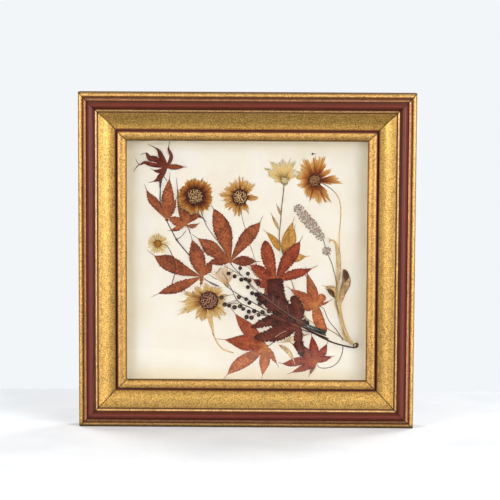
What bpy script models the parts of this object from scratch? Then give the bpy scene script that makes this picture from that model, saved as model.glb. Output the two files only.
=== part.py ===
"""A square picture frame with pressed leaves, flowers and berries under glass.

The frame stands on its bottom edge. X is its width, Z its height, and its
front faces -Y. Sizes are in millimetres in this script, and metres in the model.
"""
import math

import bmesh
import bpy
import numpy as np
from mathutils import Vector

MM = 0.001
GAP = 0.3               # left between pieces that touch
ROUND_SIDES = 10        # sides of a nail, of its hole and of a flower's middle

# The moulding: four equal rails, mitred
OUTER = 305.0           # side of the frame
RAIL_WIDTH = 43.7       # outer edge to sight edge
RAIL_DEPTH = 30.0       # back to the crest of the hump
SIDE_HEIGHT = 20.4      # flat outer side, on which the frame stands
REBATE_WIDTH = 6.0
REBATE_DEPTH = 16.3
MITRE_GAP = 0.3
OPENING = OUTER - 2 * RAIL_WIDTH

# What lies in the rebate, from the front
PANE_SIDE = OPENING + 2 * REBATE_WIDTH - 1.0
GLASS_THICKNESS = 2.0
SPACER_THICKNESS = 7.0
SPACER_WIDTH = 3.0
BOARD_THICKNESS = 1.6
BACKING_THICKNESS = 2.3

# Framer's points: flat pointed tabs in slots in the rebate's side
POINT_WIDTH = 8.0
POINT_LENGTH = 10.5
POINT_THICKNESS = 0.5
POINT_IN_RAIL = 3.5
POINT_SPACING = 120.0

# Sawtooth hanger on the back of the top rail, with two nails
HANGER_LENGTH = 44.0
HANGER_HEIGHT = 9.0
HANGER_THICKNESS = 1.0
HANGER_TEETH = 11
TOOTH_HEIGHT = 2.0
NAIL_SPACING = 37.0
NAIL_RADIUS = 0.6
NAIL_LENGTH = 9.0
NAIL_HEAD_RADIUS = 1.7
NAIL_HEAD_THICKNESS = 0.8
NAIL_HOLE_RADIUS = 0.95

HANGER_PROUD = 2 * GAP + HANGER_THICKNESS + NAIL_HEAD_THICKNESS
BACK_Y = (RAIL_DEPTH + HANGER_PROUD) / 2 - HANGER_PROUD     # back of the rails
CENTRE_Z = OUTER / 2

# Heights above the back of the rails of the layers in the rebate
GLASS_FRONT = REBATE_DEPTH - GAP
SPACER_FRONT = GLASS_FRONT - GLASS_THICKNESS - GAP
BOARD_FRONT = SPACER_FRONT - SPACER_THICKNESS - GAP
BACKING_FRONT = BOARD_FRONT - BOARD_THICKNESS - GAP
POINT_FRONT = BACKING_FRONT - BACKING_THICKNESS - GAP
GLASS_BACK = GLASS_FRONT - GLASS_THICKNESS

# Pressed plants
LEAF_THICKNESS = 0.3
PETAL_THICKNESS = 0.35
STEM_FLATNESS = 0.55    # a pressed stem's thickness over its width
DISC_RISE = 1.6         # thickness of a flower's middle
LAVENDER_RISE = 0.9     # half the thickness of the pressed spike
BERRY_RISE = 0.7        # half the thickness of a pressed berry
TWIG_RADIUS = 0.3
HUB_RADIUS = 1.6
DRAWN_TIP = 0.14        # part of a lobe that is drawn out to a fine point
DRAWN_WIDTH = 0.5
ROUNDED_TIP = 0.55      # how bluntly a rounded lobe ends; a sharp one is 1
PETAL_POINTS = 36
LAVENDER_WHORLS = 8
SPRIG_RADIUS = 0.45
FLECK_RADIUS = 1.0

# The grid on which the specimens are piled up
CELL = 0.4
BED_MARGIN = 4.0


# Each specimen is drawn on the board in millimetres: x to the right and z up
# from the middle of the opening.

def lobe(widest, belly, way, rounded=False):
    """A leaf's lobe: how wide it gets, how far along that is, and its midrib's way."""
    return {"widest": widest, "belly": belly, "way": way, "rounded": rounded}


# A palmate leaf: its hub, its lobes counterclockwise, and its stalk as (radius, way)
LEAVES = {
    "leaf_curled_maroon": {
        "hub": (-73.0, 84.5),
        "lobes": [
            lobe(5.1, 0.45, [(-54.5, 84.5)]),
            lobe(3.5, 0.35, [(-69.0, 93.5), (-71.5, 101.5), (-70.0, 108.0)]),
            lobe(4.7, 0.35, [(-78.0, 94.0), (-81.5, 100.5), (-90.5, 105.0)]),
            lobe(5.6, 0.40, [(-82.5, 91.0), (-88.5, 92.5), (-92.0, 97.0), (-97.0, 95.0)]),
            lobe(4.0, 0.30, [(-86.5, 86.5), (-93.0, 88.5), (-98.0, 86.5), (-101.5, 92.0)]),
            lobe(3.8, 0.50, [(-80.5, 80.5), (-88.0, 83.0)]),
            lobe(5.1, 0.40, [(-78.5, 76.0), (-83.0, 72.0), (-90.0, 70.0)]),
        ],
        "stalk": (0.5, [(-76.5, 77.0), (-78.5, 68.5), (-79.0, 61.0), (-79.0, 52.5), (-77.5, 44.5)]),
    },
    "leaf_left_tall": {
        "hub": (-73.0, 36.5),
        "lobes": [
            lobe(6.4, 0.50, [(-68.0, 47.5), (-63.5, 58.0)]),
            lobe(11.5, 0.50, [(-72.0, 58.0), (-70.0, 80.0)]),
            lobe(8.2, 0.52, [(-83.0, 50.5), (-89.0, 58.5), (-93.5, 68.5)]),
        ],
        "stalk": (0.5, [(-72.0, 33.0), (-68.0, 25.5), (-64.0, 18.0), (-58.5, 11.0), (-51.5, 3.0)]),
    },
    "leaf_left_small": {
        "hub": (-56.0, 32.0),
        "lobes": [
            lobe(4.0, 0.60, [(-49.5, 30.5), (-42.5, 34.0)]),
            lobe(6.0, 0.50, [(-50.0, 38.0), (-44.0, 40.0), (-36.5, 34.5)]),
            lobe(6.4, 0.45, [(-54.0, 43.5), (-52.5, 52.0)]),
            lobe(6.9, 0.28, [(-59.5, 45.5), (-62.5, 59.0), (-64.5, 75.0)]),
            lobe(8.2, 0.55, [(-65.0, 35.5), (-74.0, 40.0)]),
            lobe(4.4, 0.50, [(-64.5, 28.0), (-72.5, 26.0)]),
        ],
        "stalk": (0.4, [(-53.0, 28.0), (-51.5, 23.5)]),
    },
    "leaf_left_broad": {
        "hub": (-41.0, -15.5),
        "lobes": [
            lobe(8.2, 0.60, [(-36.0, -8.5), (-30.5, -0.5)]),
            lobe(14.0, 0.52, [(-46.0, 4.5), (-51.5, 23.5)]),
            lobe(14.2, 0.56, [(-56.5, -10.5), (-72.0, -3.0), (-81.5, 1.5), (-91.0, 8.5)]),
            lobe(9.8, 0.52, [(-53.5, -21.5), (-65.5, -26.5), (-78.0, -30.5), (-87.0, -34.5)]),
            lobe(3.1, 0.40, [(-42.0, -25.5)]),
        ],
        "stalk": (0.4, [(-36.5, -19.0), (-31.0, -22.5), (-25.5, -24.5)]),
    },
    "leaf_centre": {
        "hub": (-15.0, -1.5),
        "lobes": [
            lobe(9.5, 0.58, [(-2.5, -1.0), (13.0, -1.5)]),
            lobe(12.4, 0.52, [(-5.5, 13.0), (3.5, 24.5), (10.5, 32.5), (14.5, 40.5)]),
            lobe(15.9, 0.52, [(-19.0, 16.5), (-23.5, 31.0), (-29.0, 44.0), (-33.0, 50.5)]),
            lobe(13.3, 0.52, [(-29.5, 8.0), (-39.0, 15.5), (-50.5, 23.5)]),
            lobe(7.7, 0.50, [(-27.0, -1.5), (-39.0, -4.0)]),
        ],
        "stalk": (0.4, [(-14.0, -5.0)]),
    },
    "leaf_brick_red": {
        "hub": (26.0, -20.0),
        "lobes": [
            lobe(8.9, 0.52, [(39.5, -14.0), (53.5, -10.0), (65.0, -4.5)]),
            lobe(12.6, 0.54, [(35.5, -2.5), (45.0, 11.5), (51.0, 22.5)]),
            lobe(13.1, 0.58, [(20.0, 0.0), (16.5, 18.0)], rounded=True),
            lobe(10.9, 0.56, [(11.5, -10.5), (0.0, -2.0)]),
            lobe(8.6, 0.55, [(14.0, -21.5), (2.5, -16.0)]),
            lobe(6.4, 0.50, [(19.5, -26.5), (15.0, -35.0)]),
        ],
        "stalk": (0.4, [(31.5, -30.0)]),
    },
    "leaf_right": {
        "hub": (63.0, -41.5),
        "lobes": [
            lobe(2.7, 0.40, [(71.5, -39.5), (78.5, -35.5)]),
            lobe(7.3, 0.75, [(66.5, -37.5), (70.5, -31.5)], rounded=True),
            lobe(11.7, 0.46, [(59.0, -25.5), (53.0, -5.5)]),
            lobe(9.7, 0.50, [(50.5, -33.5), (35.5, -23.5)]),
            lobe(8.2, 0.55, [(55.5, -43.0), (48.0, -43.5)]),
            lobe(7.5, 0.45, [(65.0, -52.0), (68.0, -59.5), (73.0, -65.5)]),
        ],
        "stalk": (0.35, [(70.0, -44.0), (73.5, -52.0), (77.0, -58.0), (81.5, -63.0), (85.0, -68.0),
                         (88.5, -74.0)]),
    },
    "leaf_lower_small": {
        "hub": (63.5, -94.0),
        "lobes": [
            lobe(5.3, 0.50, [(72.5, -90.5), (81.0, -88.0)]),
            lobe(7.5, 0.50, [(70.0, -84.5), (75.0, -74.0)]),
            lobe(8.4, 0.50, [(61.5, -80.0), (59.0, -65.5)]),
            lobe(9.1, 0.50, [(51.0, -83.0), (38.0, -74.5)]),
            lobe(7.8, 0.50, [(50.0, -93.0), (37.5, -95.5), (29.0, -94.5)]),
            lobe(6.6, 0.48, [(52.0, -99.5), (37.0, -105.5)]),
            lobe(3.3, 0.40, [(57.0, -108.0)]),
        ],
        "stalk": (0.35, [(66.5, -98.5), (72.0, -99.5), (78.5, -98.0), (84.0, -93.5), (87.5, -86.0),
                         (88.5, -79.0)]),
    },
    "leaf_lower_left": {
        "hub": (18.5, -79.5),
        "lobes": [
            lobe(12.2, 0.50, [(6.0, -68.5), (-5.5, -56.0), (-14.5, -44.0)]),
            lobe(14.8, 0.52, [(4.0, -77.0), (-10.5, -75.0), (-29.0, -72.5)]),
            lobe(11.7, 0.48, [(5.5, -88.5), (-7.0, -96.5), (-15.5, -104.0), (-21.0, -110.5)]),
            lobe(9.8, 0.50, [(16.5, -95.0), (14.0, -110.5)]),
            lobe(5.3, 0.48, [(23.5, -88.5), (30.0, -99.0)]),
        ],
        "stalk": (0.4, [(22.0, -78.0), (25.0, -75.0)]),
    },
    "leaf_dark_purple": {
        "hub": (46.0, -58.5),
        "lobes": [
            lobe(6.0, 0.50, [(55.5, -59.5)]),
            lobe(9.1, 0.45, [(46.5, -45.5), (41.0, -33.5)]),
            lobe(15.5, 0.60, [(35.0, -40.0), (26.0, -15.5)], rounded=True),
            lobe(9.5, 0.50, [(31.5, -55.5), (14.0, -61.0)]),
            lobe(14.9, 0.55, [(31.5, -67.0), (18.0, -72.5), (7.0, -72.5)], rounded=True),
            lobe(8.6, 0.40, [(50.0, -74.5), (53.5, -91.5)]),
        ],
        "stalk": (0.75, [(59.5, -66.0), (70.5, -72.0), (83.5, -77.0), (98.5, -79.5), (101.0, -76.5)]),
    },
}

# Single leaves and blades: one lobe each, from the base to the tip
BLADES = {
    "ochre_leaf_tall": lobe(8.6, 0.45, [(32.5, 7.0), (38.0, 24.0), (43.5, 40.0)]),
    "ochre_leaf_broad": lobe(10.9, 0.50, [(33.5, 6.5), (40.0, 19.5), (44.0, 33.0)]),
    "ochre_leaf_left": lobe(6.4, 0.50, [(30.0, 8.0), (24.5, 18.5), (14.5, 28.5)]),
    "ochre_leaf_right": lobe(8.2, 0.50, [(38.5, 2.5), (46.5, 2.5), (57.5, 4.0)]),
    "tan_leaf_curled": lobe(4.2, 0.45, [(83.5, -27.0), (84.0, -7.0), (83.0, 8.0), (80.0, 16.0),
                                     (73.5, 21.0)]),
    "brown_leaf_curled": lobe(7.8, 0.62, [(83.0, -39.0), (80.5, -31.0), (75.5, -25.5), (69.0, -23.0)]),
    "brown_leaf_cupped": lobe(7.7, 0.60, [(86.0, -39.0), (88.0, -29.0), (91.0, -19.0), (89.0, -8.0)],
                              rounded=True),
    "grass_blade": lobe(3.8, 0.55, [(57.5, -68.0), (45.5, -71.0), (34.5, -75.0), (28.5, -76.0)]),
    "grass_blade_twisted": lobe(4.2, 0.45, [(29.5, -78.0), (37.0, -83.0), (42.5, -90.5), (45.0, -98.5)]),
}

# A flower: middle, disc radius, petals as (direction in degrees, reach, spread
# in degrees) and its stem as (radius, way).
FLOWERS = {
    "flower_rust": {
        "middle": (-47.0, 58.0), "disc": 7.9, "rays": (24, 15.4),
        "stem": (0.35, [(-42.0, 44.5), (-37.5, 32.5), (-31.0, 22.5), (-22.5, 11.5), (-17.0, 1.5),
                        (-12.0, -7.0), (-3.5, -15.5), (6.5, -27.5)]),
    },
    "flower_yellow": {
        "middle": (-6.5, 57.5), "disc": 7.1,
        "petals": [(85, 18.4, 17), (110, 16.6, 15), (135, 17.1, 17), (155, 16.2, 15), (174, 17.8, 16),
                   (196, 16.0, 16), (219, 17.1, 19), (252, 17.3, 13), (268, 17.3, 14), (295, 15.9, 17),
                   (357, 17.1, 15), (43, 17.1, 19), (66, 15.9, 12)],
        "stem": (0.3, [(-5.5, 45.0), (-3.5, 35.0), (-0.5, 25.5), (4.5, 9.0), (10.0, -7.5)]),
    },
    "flower_orange": {
        "middle": (61.5, 73.0), "disc": 5.9,
        "petals": [(70, 23.3, 17), (95, 21.9, 19), (122, 21.3, 20), (150, 18.2, 18), (170, 17.1, 12),
                   (199, 16.8, 15), (232, 16.8, 18), (258, 19.1, 18), (281, 20.4, 15), (302, 22.8, 18),
                   (1, 26.1, 15), (35, 16.9, 8)],
        "stem": (0.55, [(67.0, 71.0), (76.0, 65.5), (82.0, 59.0), (85.0, 50.0), (85.0, 37.0),
                        (84.0, 22.5), (84.5, -1.5), (83.0, -18.0), (84.0, -34.5),
                        (89.5, -65.0), (94.5, -74.5), (99.5, -79.0)]),
    },
    "flower_straw": {
        "middle": (34.0, 72.5), "disc": 3.3,
        "petals": [(147, 21.8, 11), (126, 21.3, 11), (108, 20.0, 10), (92, 21.1, 10), (77, 20.0, 9),
                   (65, 21.7, 10), (47, 15.0, 10), (27, 12.2, 10), (163, 15.5, 9), (183, 9.5, 14)],
        "stem": (0.5, [(33.5, 69.5), (33.0, 63.0), (31.5, 48.5), (30.5, 35.0), (29.5, 20.5),
                       (32.0, 8.5), (37.5, -9.0), (45.0, -31.0), (54.5, -53.0), (72.5, -62.0),
                       (85.5, -70.0), (96.5, -77.5)]),
    },
    "flower_small_yellow": {
        "middle": (-81.0, 14.5), "disc": 3.2, "rays": (16, 10.2),
        "stem": (0.35, [(-78.0, 14.5), (-73.0, 12.5), (-69.0, 6.0), (-66.0, -3.0), (-65.5, -11.0),
                        (-68.5, -23.0)]),
    },
    "flower_tan": {
        "middle": (-34.5, -37.5), "disc": 8.6,
        "petals": [(202, 28.6, 12), (184, 25.5, 12), (165, 23.1, 14), (136, 18.9, 18), (100, 15.3, 22),
                   (70, 14.6, 16), (46, 15.3, 18), (13, 17.7, 18), (343, 16.9, 14), (320, 19.9, 16),
                   (302, 20.4, 16), (276, 18.2, 14), (252, 21.5, 14), (231, 20.0, 14)],
        "stem": (0.7, [(-35.5, -48.0), (-33.0, -58.0), (-30.5, -68.0), (-27.5, -75.0), (-21.5, -82.5),
                       (-11.5, -86.0)]),
    },
    "petal_fan": {
        "middle": (-18.0, -23.5), "disc": 1.6,
        "petals": [(131, 16.4, 16), (112, 17.3, 15), (95, 17.9, 14), (75, 13.7, 13)],
        "stem": (0.3, [(-17.0, -25.5)]),
    },
}

# The lavender: a spike of packed whorls, one loose whorl and a stem.
LAVENDER_TIP = (43.0, 51.0)
LAVENDER_FOOT = (69.0, 20.0)
LAVENDER_WIDTH = 10.0
LAVENDER_WHORL = ((72.5, 8.5), 5.1)
LAVENDER_STEM = [(69.0, 20.0), (72.5, 8.5), (77.5, -3.0), (80.0, -12.5), (82.0, -22.0),
                 (81.5, -36.0), (84.0, -47.0), (87.0, -58.0), (90.0, -69.0), (97.0, -77.0)]

# Berry sprigs: the way of the stem from the far end to the cut, and the berries.
BERRY = 2.0
SPRIGS = {
    "berry_sprig_upper": (
        [(-20.5, -5.5), (-11.5, -10.5), (-3.5, -15.5), (5.0, -24.0), (14.0, -32.0), (24.0, -39.5),
         (41.5, -51.5), (61.0, -62.0), (72.5, -66.5)],
        [(-6.0, -7.5), (1.0, -12.5), (-16.5, -12.5), (-11.0, -15.0), (-5.0, -18.0), (-1.0, -17.5),
         (2.5, -19.0), (1.0, -25.0), (5.0, -30.5), (8.5, -31.5), (10.5, -21.0), (24.0, -30.0),
         (28.0, -34.5), (35.5, -39.5)]),
    "berry_sprig_middle": (
        [(-21.0, -22.0), (-13.5, -28.0), (-4.0, -34.0), (3.0, -37.5), (11.0, -42.0), (31.5, -52.5),
         (51.5, -61.0), (73.0, -69.0)],
        [(-7.0, -34.0), (-0.5, -36.0), (2.5, -39.5), (11.0, -36.0), (12.0, -40.0), (16.5, -39.0),
         (20.5, -47.0), (26.5, -48.0), (30.5, -50.0), (39.0, -53.5), (44.0, -56.0), (51.5, -46.5)]),
    "berry_sprig_lower": (
        [(-16.0, -22.5), (-12.0, -31.0), (-9.5, -36.0), (-4.5, -40.5), (2.5, -43.5), (18.0, -51.0),
         (40.0, -60.0), (63.5, -68.0), (75.0, -72.5)],
        [(-23.0, -34.5), (-20.0, -41.0), (-16.0, -42.0), (-11.0, -43.5), (-6.0, -42.5), (-3.0, -45.0),
         (2.0, -47.5), (7.0, -47.0), (11.0, -50.5), (14.5, -48.0), (16.5, -55.0), (0.0, -52.5),
         (4.5, -53.0), (27.0, -57.5), (55.0, -57.0)]),
}
FLECK = ((59.0, 97.0), (62.5, 97.5))

# Where each specimen lies in the pile, the first one laid on the bare board
LAYING_ORDER = [
    "leaf_curled_maroon", "leaf_left_tall", "leaf_left_small", "flower_rust", "flower_yellow",
    "flower_tan", "leaf_left_broad", "flower_small_yellow", "petal_fan",
    "flower_straw", "ochre_leaf_right", "ochre_leaf_tall", "ochre_leaf_broad", "ochre_leaf_left",
    "leaf_right", "leaf_brick_red", "leaf_centre",
    "flower_orange", "lavender", "brown_leaf_curled", "brown_leaf_cupped", "tan_leaf_curled",
    "leaf_lower_left", "leaf_lower_small", "grass_blade", "grass_blade_twisted", "leaf_dark_purple",
    "berry_sprig_lower", "berry_sprig_middle", "berry_sprig_upper", "seed_fleck",
]


# ---------------------------------------------------------------- helpers

def clear_scene():
    for thing in list(bpy.data.objects):
        bpy.data.objects.remove(thing)


def new_collection(name):
    group = bpy.data.collections.new(name)
    bpy.context.scene.collection.children.link(group)
    return group


def new_material(name, colour, roughness, metallic=0.0, transmission=0.0):
    """A Principled material; colour is sRGB, as red, green and blue out of 255."""
    material = bpy.data.materials.new(name)
    material.use_nodes = True
    shader = material.node_tree.nodes["Principled BSDF"]
    linear = [(channel / 255) ** 2.2 for channel in colour]
    shader.inputs["Base Color"].default_value = (*linear, 1.0)
    shader.inputs["Roughness"].default_value = roughness
    shader.inputs["Metallic"].default_value = metallic
    shader.inputs["Transmission Weight"].default_value = transmission
    return material


def add_object(name, data, group, material=None):
    thing = bpy.data.objects.new(name, data)
    group.objects.link(thing)
    if material:
        data.materials.append(material)
    return thing


def layer_y(height):
    """Y of a height above the back of the rails."""
    return BACK_Y - height


def make_box(name, size, middle, group, material):
    """A box from a primitive cube: size and middle are (x, y, z)."""
    bm = bmesh.new()
    bmesh.ops.create_cube(bm, size=1.0)
    bmesh.ops.scale(bm, vec=Vector(size) * MM, verts=bm.verts)
    mesh = bpy.data.meshes.new(name)
    bm.to_mesh(mesh)
    bm.free()
    box = add_object(name, mesh, group, material)
    box.location = Vector(middle) * MM
    return box


def flat_curve(name, outlines, thickness, group):
    """A flat piece that faces -Y: its outline and then its holes, as (x, z) points."""
    curve = bpy.data.curves.new(name, "CURVE")
    curve.dimensions = "2D"
    curve.fill_mode = "BOTH"
    curve.extrude = thickness / 2 * MM
    for outline in outlines:
        spline = curve.splines.new("POLY")
        spline.points.add(len(outline) - 1)
        spline.use_cyclic_u = True
        for point, (x, z) in zip(spline.points, outline):
            point.co = (x * MM, z * MM, 0.0, 1.0)
    piece = add_object(name, curve, group)
    piece.rotation_euler = (math.pi / 2, 0.0, 0.0)
    return piece


def tube_curve(name, way, radius, group, sides_level=0, swell=None):
    """A flattened stem along (x, z) points; swell gives each point's share of the radius."""
    curve = bpy.data.curves.new(name, "CURVE")
    curve.dimensions = "3D"
    curve.bevel_depth = radius * MM
    curve.bevel_resolution = sides_level
    curve.use_fill_caps = True
    spline = curve.splines.new("POLY")
    spline.points.add(len(way) - 1)
    for index, (x, z) in enumerate(way):
        spline.points[index].co = (x * MM, z * MM, 0.0, 1.0)
        if swell:
            spline.points[index].radius = swell[index]
    piece = add_object(name, curve, group)
    piece.rotation_euler = (math.pi / 2, 0.0, 0.0)
    piece.scale.z = STEM_FLATNESS
    return piece


def pill(name, middle, radius, rise, group, segments=6, rings=3):
    """A round body flattened in Y, as a pressed berry or a flower's middle is."""
    bm = bmesh.new()
    bmesh.ops.create_uvsphere(bm, u_segments=segments, v_segments=rings, radius=1.0)
    bmesh.ops.scale(bm, vec=Vector((radius, radius, rise)) * MM, verts=bm.verts)
    mesh = bpy.data.meshes.new(name)
    bm.to_mesh(mesh)
    bm.free()
    piece = add_object(name, mesh, group)
    piece.rotation_euler = (math.pi / 2, 0.0, 0.0)
    piece.location = (middle[0] * MM, 0.0, middle[1] * MM)
    return piece


def as_mesh(piece):
    """The piece as a closed mesh in world space, in place of its curve or modifiers."""
    graph = bpy.context.evaluated_depsgraph_get()
    mesh = bpy.data.meshes.new_from_object(piece.evaluated_get(graph))
    mesh.transform(piece.matrix_world)
    bm = bmesh.new()
    bm.from_mesh(mesh)
    bmesh.ops.remove_doubles(bm, verts=bm.verts, dist=0.001 * MM)
    bmesh.ops.recalc_face_normals(bm, faces=bm.faces)
    bm.to_mesh(mesh)
    bm.free()
    solid = bpy.data.objects.new(piece.name + "_solid", mesh)
    piece.users_collection[0].objects.link(solid)
    bpy.data.objects.remove(piece)
    return solid


def fuse(name, pieces, group, material):
    """One solid from pieces that grow together: the union of them all."""
    bpy.context.view_layer.update()
    solids = [as_mesh(piece) for piece in pieces]
    whole = solids[0]
    if len(solids) > 1:
        others = new_collection(name + "_parts")
        for solid in solids[1:]:
            solid.users_collection[0].objects.unlink(solid)
            others.objects.link(solid)
        join = whole.modifiers.new("join", "BOOLEAN")
        join.operation = "UNION"
        join.operand_type = "COLLECTION"
        join.collection = others
        join.solver = "EXACT"
        bpy.context.view_layer.update()
        whole = as_mesh(whole)
        for solid in list(others.objects):
            bpy.data.objects.remove(solid)
        bpy.data.collections.remove(others)
    whole.name = name
    whole.users_collection[0].objects.unlink(whole)
    group.objects.link(whole)
    whole.data.materials.clear()
    whole.data.materials.append(material)
    return whole


# ---------------------------------------------------------------- the frame

def bead(start, end, rise, steps):
    """A rounded strip of the profile from start to end; a negative rise hollows it."""
    points = []
    for step in range(steps + 1):
        part = step / steps
        width = start[0] + (end[0] - start[0]) * part
        height = start[1] + (end[1] - start[1]) * part + rise * math.sin(math.pi * part)
        points.append((width, height))
    return points


def moulding_profile():
    """The rail's section: distance from the outer edge, height above the back."""
    crest = RAIL_DEPTH
    profile = [(0.0, 0.0)]
    profile += bead((0.0, SIDE_HEIGHT), (3.7, 22.4), 1.3, 4)            # outer gold bead
    profile += [(4.1, 21.9)]
    profile += bead((4.4, 22.4), (7.6, 25.9), 1.0, 4)                   # rose-gold bead
    profile += [(7.9, 25.3)]
    profile += bead((8.2, 26.0), (15.2, 26.4), crest - 26.2, 8)         # maroon hump
    profile += [(15.4, 25.6), (15.7, 25.9), (17.3, 25.3), (17.5, 24.5)]     # thin gold fillet
    profile += bead((18.4, 24.6), (32.6, 17.4), -2.2, 8)                # wide gold scoop
    profile += [(32.9, 16.4), (34.9, 16.2)]                             # maroon groove
    profile += bead((35.2, 19.8), (42.6, 18.7), 1.2, 5)                 # inner gold lip
    profile += [(43.3, 18.1), (RAIL_WIDTH, 17.5), (RAIL_WIDTH, REBATE_DEPTH)]
    profile += [(RAIL_WIDTH - REBATE_WIDTH, REBATE_DEPTH), (RAIL_WIDTH - REBATE_WIDTH, 0.0)]
    return profile


def rail_mesh(name):
    """The section drawn on the left mitre and swept to the right one, outer edge down."""
    bm = bmesh.new()
    ring = []
    for width, height in moulding_profile():
        mitre = OUTER / 2 - width - MITRE_GAP / 2
        ring.append(bm.verts.new((-mitre * MM, layer_y(height) * MM, (width - OUTER / 2) * MM)))
    section = bm.faces.new(ring)
    swept = bmesh.ops.extrude_face_region(bm, geom=[section])
    for element in swept["geom"]:
        if isinstance(element, bmesh.types.BMVert):
            element.co.x = -element.co.x
    bmesh.ops.recalc_face_normals(bm, faces=bm.faces)
    mesh = bpy.data.meshes.new(name)
    bm.to_mesh(mesh)
    bm.free()
    return mesh


def cut(piece, cutter):
    """Cut one piece out of another, and leave the cutter as a wire guide."""
    cutter.hide_render = True
    cutter.display_type = "WIRE"
    slot = piece.modifiers.new(cutter.name, "BOOLEAN")
    slot.operation = "DIFFERENCE"
    slot.object = cutter
    slot.solver = "EXACT"


def point_place(index):
    """X along the rail and Z out from the middle of the frame for a rail's points."""
    side = -1 if index == 0 else 1
    return side * POINT_SPACING / 2, -(OUTER / 2 - RAIL_WIDTH + REBATE_WIDTH)


def make_rails(group, cutters, gilt):
    """Four rails turned about the frame's middle, each with two slots for points."""
    rails = {}
    for turn, name in enumerate(("rail_bottom", "rail_left", "rail_top", "rail_right")):
        rail = add_object(name, rail_mesh(name), group, gilt)
        rail.location = (0.0, 0.0, CENTRE_Z * MM)
        rail.rotation_euler = (0.0, turn * math.pi / 2, 0.0)
        rails[name] = rail
        for index in range(2):
            along, wall = point_place(index)
            depth = POINT_IN_RAIL + GAP
            size = (POINT_WIDTH + 2 * GAP, POINT_THICKNESS + 2 * GAP, 2 * depth)
            middle = (along, layer_y(POINT_FRONT - POINT_THICKNESS / 2), wall)
            slot = make_box(f"{name}_slot_{index + 1}", size, middle, cutters, None)
            slot.parent = rail
            cut(rail, slot)
    for index, x in enumerate((-NAIL_SPACING / 2, NAIL_SPACING / 2)):
        bm = bmesh.new()
        bmesh.ops.create_cone(bm, cap_ends=True, segments=ROUND_SIDES, radius1=NAIL_HOLE_RADIUS * MM,
                              radius2=NAIL_HOLE_RADIUS * MM, depth=2 * NAIL_LENGTH * MM)
        mesh = bpy.data.meshes.new("nail_hole")
        bm.to_mesh(mesh)
        bm.free()
        hole = add_object(f"nail_hole_{index + 1}", mesh, cutters)
        hole.rotation_euler = (math.pi / 2, 0.0, 0.0)
        hole.location = (x * MM, BACK_Y * MM, hanger_z() * MM)
        cut(rails["rail_top"], hole)


def make_points(group, steel):
    """Pointed tabs, half in a rail's slot and half over the backing board."""
    half = POINT_WIDTH / 2
    shoulder = POINT_LENGTH - half
    outline = [(-half, 0.0), (half, 0.0), (half, shoulder), (0.0, POINT_LENGTH), (-half, shoulder)]
    number = 0
    for turn in range(4):
        for index in range(2):
            number += 1
            along, wall = point_place(index)
            start = wall - POINT_IN_RAIL
            shape = [(along + x, start + z) for x, z in outline]
            tab = flat_curve(f"point_{number}", [shape], POINT_THICKNESS, group)
            tab.data.materials.append(steel)
            tab.rotation_euler = (math.pi / 2, turn * math.pi / 2, 0.0)
            tab.location = (0.0, layer_y(POINT_FRONT - POINT_THICKNESS / 2) * MM, CENTRE_Z * MM)


def hanger_z():
    """Height of the hanger's nails, halfway across the flat back of the top rail."""
    return OUTER - (RAIL_WIDTH - REBATE_WIDTH) / 2


def circle(middle_x, middle_z, radius, sides):
    turns = [2 * math.pi * side / sides for side in range(sides)]
    return [(middle_x + radius * math.cos(turn), middle_z + radius * math.sin(turn)) for turn in turns]


def make_hanger(group, brass):
    """A strip with a toothed lower edge, and the two nails that hold it."""
    half = HANGER_LENGTH / 2
    toothed = HANGER_LENGTH * 0.72
    top = HANGER_HEIGHT / 2
    outline = [(half, -top), (half, top), (-half, top), (-half, -top), (-toothed / 2, -top)]
    for tooth in range(HANGER_TEETH):
        left = -toothed / 2 + toothed * tooth / HANGER_TEETH
        outline.append((left + toothed / HANGER_TEETH / 2, -top + TOOTH_HEIGHT))
        outline.append((left + toothed / HANGER_TEETH, -top))
    holes = [circle(side * NAIL_SPACING / 2, 0.0, NAIL_HOLE_RADIUS, ROUND_SIDES) for side in (-1, 1)]
    strip = flat_curve("hanger", [outline] + holes, HANGER_THICKNESS, group)
    strip.data.materials.append(brass)
    strip.location = (0.0, (BACK_Y + GAP + HANGER_THICKNESS / 2) * MM, hanger_z() * MM)
    for index, x in enumerate((-NAIL_SPACING / 2, NAIL_SPACING / 2)):
        nail = add_object(f"hanger_nail_{index + 1}", nail_mesh(), group, brass)
        nail.location = (x * MM, BACK_Y * MM, hanger_z() * MM)
        nail.rotation_euler = (math.pi / 2, 0.0, 0.0)
        spin = nail.modifiers.new("turn", "SCREW")
        spin.axis = "Z"
        spin.steps = ROUND_SIDES
        spin.render_steps = ROUND_SIDES
        spin.use_merge_vertices = True
        spin.merge_threshold = 0.00001


def nail_mesh():
    """Half a nail's section from its head down to its point, along -Z into the wood."""
    head_foot = 2 * GAP + HANGER_THICKNESS
    head_top = head_foot + NAIL_HEAD_THICKNESS
    profile = [(0.0, head_top), (NAIL_HEAD_RADIUS * 0.7, head_top), (NAIL_HEAD_RADIUS, head_top - 0.35),
               (NAIL_HEAD_RADIUS, head_foot), (NAIL_RADIUS, head_foot),
               (NAIL_RADIUS, head_foot - NAIL_LENGTH + 1.2), (0.0, head_foot - NAIL_LENGTH)]
    mesh = bpy.data.meshes.new("nail")
    points = [(radius * MM, 0.0, -height * MM) for radius, height in reversed(profile)]
    edges = [(index, index + 1) for index in range(len(points) - 1)]
    mesh.from_pydata(points, edges, [])
    return mesh


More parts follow.
